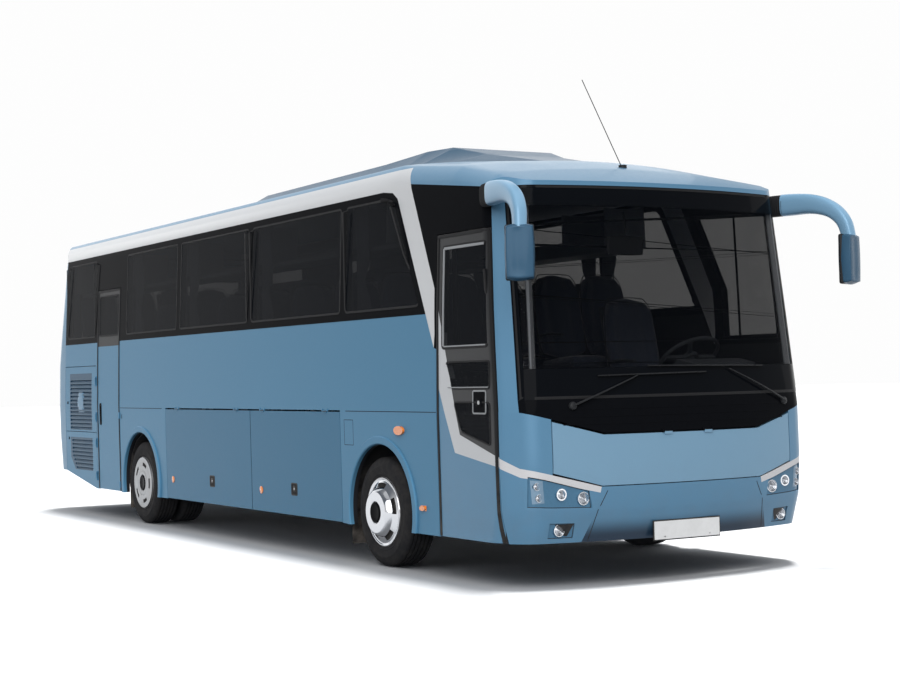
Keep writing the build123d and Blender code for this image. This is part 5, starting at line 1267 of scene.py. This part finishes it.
# Flap handles, locks, lamps and seams on the sides
for side, word in SIDES:
    place = side_place(side)
    for body, x, z in ((f"luggage_flap_rear_{word}", -3.049, 0.469), (f"luggage_flap_front_{word}", -1.403, 0.476)):
        bm = bmesh.new()
        ribbon(bm, place, rounded(rect(x - 0.052, z - 0.045, x + 0.052, z + 0.045), 0.014), 0.010, 0.0022, step=0.05)
        patch(bm, place, rect(x - 0.050, z - 0.043, x + 0.050, z + 0.043), 0.0006, 1, 4)
        p, n = place(x + 0.004, z + 0.004)
        box(bm, (-0.022, -0.020, 0.0005), (0.022, 0.024, 0.0032), 0, along(p, n), 0.0012)
        lathe(bm, p, n, [(0.009, 0.003), (0.009, 0.0042), (0.0, 0.0042)], 20, 2)
        if "front" in body:
            ribbon(bm, place, [(-2.2095, 0.279), (-2.2095, 1.074)], 0.005, 0.0005, 1, closed=False, step=0.06)
        make(f"{body}_handle", bm, [SATIN_BLACK, JOINT_AND_SHADE_DARK, GREY_METAL], body, angle=40)
    bm = bmesh.new()
    box(bm, (-0.036, -0.018, 0), (0.036, 0.018, 0.0035), 0, along(*place(0.626, 0.443)), 0.0015)
    make(f"side_lamps_{word}", bm, AMBER, angle=40)
    for body, x, z in ((f"luggage_flap_rear_{word}", -3.966, 0.447), (f"luggage_flap_front_{word}", -2.024, 0.443)):
        bm = bmesh.new()
        p, n = place(x, z)
        lathe(bm, p, n, [(0.030, -0.001), (0.030, 0.004), (0.026, 0.006), (0.0, 0.0075)], 28)
        make(f"{body}_marker", bm, AMBER, body, angle=40)
    bm = bmesh.new()
    for x in (-4.1235, -0.5845):
        ribbon(bm, place, [(x, 0.279), (x, 1.077)], 0.005, 0.0005, closed=False, step=0.06)
    for a, b in ((-5.345, -4.123), (-0.585, 0.826)):
        ribbon(bm, place, [(a, 1.0835), (b, 1.0835)], 0.006, 0.0005, closed=False, step=0.1)
    ribbon(bm, place, rect(-0.52, 0.84, -0.38, 1.02), 0.0045, 0.0005, step=0.05)
    ribbon(bm, place, [(-5.30, 0.98), (-5.30, 1.02)], 0.010, 0.002, closed=False, step=0.05)
    make(f"side_small_seams_{word}", bm, JOINT_AND_SHADE_DARK, angle=50)

bm = bmesh.new()
ribbon(bm, RIGHT, rounded(rect(-5.945, 0.915, -5.895, 1.125), 0.022), 0.010, 0.003, step=0.04)
patch(bm, RIGHT, rect(-5.942, 0.920, -5.898, 1.120), 0.0008, cells=5)
box(bm, (-0.010, -0.075, 0.001), (0.010, 0.075, 0.0075), 0, along(*RIGHT(-5.92, 1.02)), 0.004)
make("rear_door_handle", bm, BLACK, "rear_door", angle=40)

bm = bmesh.new()
ribbon(bm, RIGHT, rounded(rect(1.300, 1.080, 1.455, 1.222), 0.014), 0.012, 0.004, 1, step=0.04)
patch(bm, RIGHT, rect(1.303, 1.083, 1.452, 1.219), 0.0015, cells=5)
p, n = RIGHT(1.377, 1.148)
box(bm, (-0.034, -0.026, 0.0015), (0.034, 0.026, 0.006), 0, along(p, n), 0.003)
lathe(bm, p, n, [(0.013, 0.006), (0.013, 0.0085), (0.0, 0.0085)], 24, 2)
make("front_door_lock", bm, [BLACK, SATIN_GREY, GREY_METAL], "front_door", angle=40)

# Rear: lens rings in the lamp stacks, and the engine lid's louvres and handle

for side, word in SIDES:
    bm = bmesh.new()
    for z, m in ((0.80, 0), (0.96, 1), (1.12, 0), (1.25, 2)):
        p, n = on_tail(side * 0.965, z)
        r = 0.062 if z != 1.25 else 0.045
        lathe(bm, p, n, [(r * 1.06, -0.002), (r * 1.06, 0.0025), (r, 0.004), (r * 0.94, 0.0028)], 48, 3)
        rings = []
        for k in range(6):
            rings += [(r * (0.94 - 0.15 * k), 0.0026), (r * (0.88 - 0.15 * k), 0.0012)]
        lathe(bm, p, n, rings + [(0.0, 0.0024)], 48, m)
    make(f"rear_lamp_rings_{word}", bm, [RED, AMBER, LENS_WHITE, SATIN_BLACK], angle=40)
bm = bmesh.new()
for k in range(15):
    z = 0.730 + 0.046 * k + 0.012
    p, n = on_tail(0, z + 0.023)
    m = Matrix.Translation((p.x + 0.012, 0, z + 0.001)) @ Matrix.Rotation(math.radians(-35), 4, "Y")
    box(bm, (-0.001, -0.505, -0.014), (0.001, 0.505, 0.014), 0, m)
make("engine_lid_blades", bm, SHADED_GRILLE_BLUE, "engine_lid")
bm = bmesh.new()
box(bm, (-0.075, -0.016, 0.0), (0.075, 0.016, 0.006), 0, along(*on_tail(0, 0.690)), 0.003)
make("engine_lid_handle", bm, BLACK, "engine_lid")


# Cab: pillar trims, the header over the windscreen, the spokes of the steering wheel and the instruments

bm = bmesh.new()
for side in (-1, 1):
    path = []
    for k in range(13):
        z = 1.20 + 1.24 * k / 12
        p, _ = on_nose(side * (1.035 - 0.050 * k / 12), z)
        path.append(p + Vector((-0.030, 0, 0)))
    tube(bm, path, 0.024, 0, 10, 0.6, Vector((1, 0, 0)))
make("pillar_trims", bm, LIGHT_TRIM, angle=60)
bm = bmesh.new()
for k in range(-8, 8):
    a, b = 0.118 * k, 0.118 * (k + 1)
    p, _ = on_nose((a + b) / 2, 2.40)
    box(bm, (p.x - 0.075, a, 2.385), (p.x - 0.045, b, 2.470), 0)
make("blind_header", bm, SATIN_BLACK)
bm = bmesh.new()
column = Matrix.Translation((at(1.150), 0.640, 1.420)) @ Matrix.Rotation(math.radians(-35), 4, "Y")
for k in range(3):
    turn = Matrix.Rotation(math.radians(90 + 120 * k), 4, "Z")
    box(bm, (0.03, -0.016, -0.012), (0.205, 0.016, -0.002), 0, column @ turn, 0.004)
lathe(bm, column.translation, column.to_3x3() @ Vector((0, 0, 1)),
      [(0.062, -0.03), (0.060, 0.002), (0.045, 0.012), (0, 0.014)], 32)
make("steering_spokes", bm, PLASTIC, angle=40)
bm = bmesh.new()
cluster = Matrix.Translation((at(1.345), 0.62, 1.290)) @ Matrix.Rotation(math.radians(-62), 4, "Y")
for y, r in ((-0.12, 0.052), (0.12, 0.052), (0.0, 0.034)):
    spot = cluster @ Vector((0, y, 0.0))
    lathe(bm, spot, cluster.to_3x3() @ Vector((0, 0, 1)),
          [(r, 0.0), (r, 0.014), (r * 0.9, 0.014), (r * 0.88, 0.004), (0, 0.004)], 36)
make("instruments", bm, BLACK, angle=40)

# Camera: solved from the photograph, in pixels of its width and in degrees

FOCAL_PIXELS, WIDTH_PIXELS, SENSOR = 1700.51, 900.0, 36.0
CAMERA_PLACE = (at(10.5289), -6.7635, 1.3158)
AZIMUTH, ELEVATION, ROLL = 59.70, 1.318, -1.267
scene = bpy.context.scene
cam_data = bpy.data.cameras.new("camera")
cam = bpy.data.objects.new("camera", cam_data)
scene.collection.objects.link(cam)
cam_data.sensor_width = SENSOR
cam_data.lens = SENSOR * FOCAL_PIXELS / WIDTH_PIXELS
cam_data.clip_end = 200.0
az, el, roll = math.radians(AZIMUTH), math.radians(ELEVATION), math.radians(ROLL)
fwd = Vector((-math.sin(az) * math.cos(el), math.cos(az) * math.cos(el), math.sin(el)))
right = Vector((math.cos(az), math.sin(az), 0))
up = right.cross(fwd)
right2 = math.cos(roll) * right + math.sin(roll) * up
up2 = -math.sin(roll) * right + math.cos(roll) * up
cam.matrix_world = Matrix.Translation(CAMERA_PLACE) @ Matrix((right2, up2, -fwd)).transposed().to_4x4()
scene.camera = cam
scene.view_settings.view_transform = "Standard"

# World: diffuse rays meet a dim room with a bright ceiling. Camera, glossy and transmission rays all meet one
# backdrop, which is white near the horizon and grey overhead.

world = bpy.data.worlds.new("studio")
scene.world = world
world.use_nodes = True
wt = world.node_tree
wt.nodes.clear()
w_out = wt.nodes.new("ShaderNodeOutputWorld")
room = wt.nodes.new("ShaderNodeBackground")
backdrop = node(wt, "ShaderNodeBackground")
height = node(wt, "ShaderNodeSeparateXYZ", {0: node(wt, "ShaderNodeTexCoord").outputs["Generated"]}).outputs[2]
ROOM = [(0.0, (0.10, 0.11, 0.13)), (0.40, (0.15, 0.165, 0.19)), (0.5, (0.13, 0.145, 0.17)),
        (0.62, (0.10, 0.115, 0.14)), (0.75, (0.24, 0.26, 0.29)), (0.87, (0.75, 0.77, 0.80)), (1.0, (0.95, 0.95, 0.96))]
BACKDROP = [(0.0, (0.985, 0.985, 0.985)), (0.25, (0.985, 0.985, 0.985)), (0.45, (0.22, 0.24, 0.27)),
            (0.75, (0.20, 0.22, 0.25)), (1.0, (0.45, 0.46, 0.48))]
wt.links.new(ramp(wt, plus(wt, times(wt, height, 0.5), 0.5), ROOM), room.inputs[0])
wt.links.new(ramp(wt, height, BACKDROP), backdrop.inputs[0])
rays = node(wt, "ShaderNodeLightPath").outputs
seen = larger(wt, rays["Is Camera Ray"], larger(wt, rays["Is Glossy Ray"], rays["Is Transmission Ray"]))
wt.links.new(node(wt, "ShaderNodeMixShader", {0: seen, 1: room.outputs[0], 2: backdrop.outputs[0]}).outputs[0],
             w_out.inputs[0])

# Floor and lights; the floor has a sun of its own, which leaves it white with the coach's shadow on it

floor_mat = simple("studio_floor", (0.90, 0.90, 0.90), 0.9, grain=2.0, bumpy=0.0, vary=0.005)
bm = bmesh.new()
bmesh.ops.create_grid(bm, x_segments=1, y_segments=1, size=90)
me = bpy.data.meshes.new("studio_floor")
bm.to_mesh(me)
bm.free()
me.materials.append(floor_mat)
floor_ob = bpy.data.objects.new("studio_floor", me)
scene.collection.objects.link(floor_ob)
floor_ob.visible_diffuse = False
floor_only, not_floor = bpy.data.collections.new("floor_only"), bpy.data.collections.new("not_floor")
floor_only.objects.link(floor_ob)
not_floor.objects.link(floor_ob)
not_floor.collection_objects[0].light_linking.link_state = "EXCLUDE"


def sun(name, azimuth, elevation, strength, angle, lights):
    """Soft parallel light from an azimuth (0 ahead, 90 left) and elevation, on one collection's objects."""
    data = bpy.data.lights.new(name, "SUN")
    data.energy = strength
    data.angle = math.radians(angle)
    ob = bpy.data.objects.new(name, data)
    a, e = math.radians(azimuth), math.radians(elevation)
    toward = Vector((math.cos(a) * math.cos(e), math.sin(a) * math.cos(e), math.sin(e)))
    ob.rotation_euler = toward.to_track_quat("Z", "Y").to_euler()
    ob.location = toward * 12
    scene.collection.objects.link(ob)
    ob.light_linking.receiver_collection = lights


sun("ceiling_on_floor", 112, 81.5, 3.5, 9, floor_only)
sun("ceiling", 0, 80, 0.35, 60, not_floor)
sun("key", -37, 26, 2.5, 50, not_floor)
sun("fill_left", 95, 28, 0.55, 60, not_floor)
sun("fill_rear", 170, 25, 0.8, 60, not_floor)
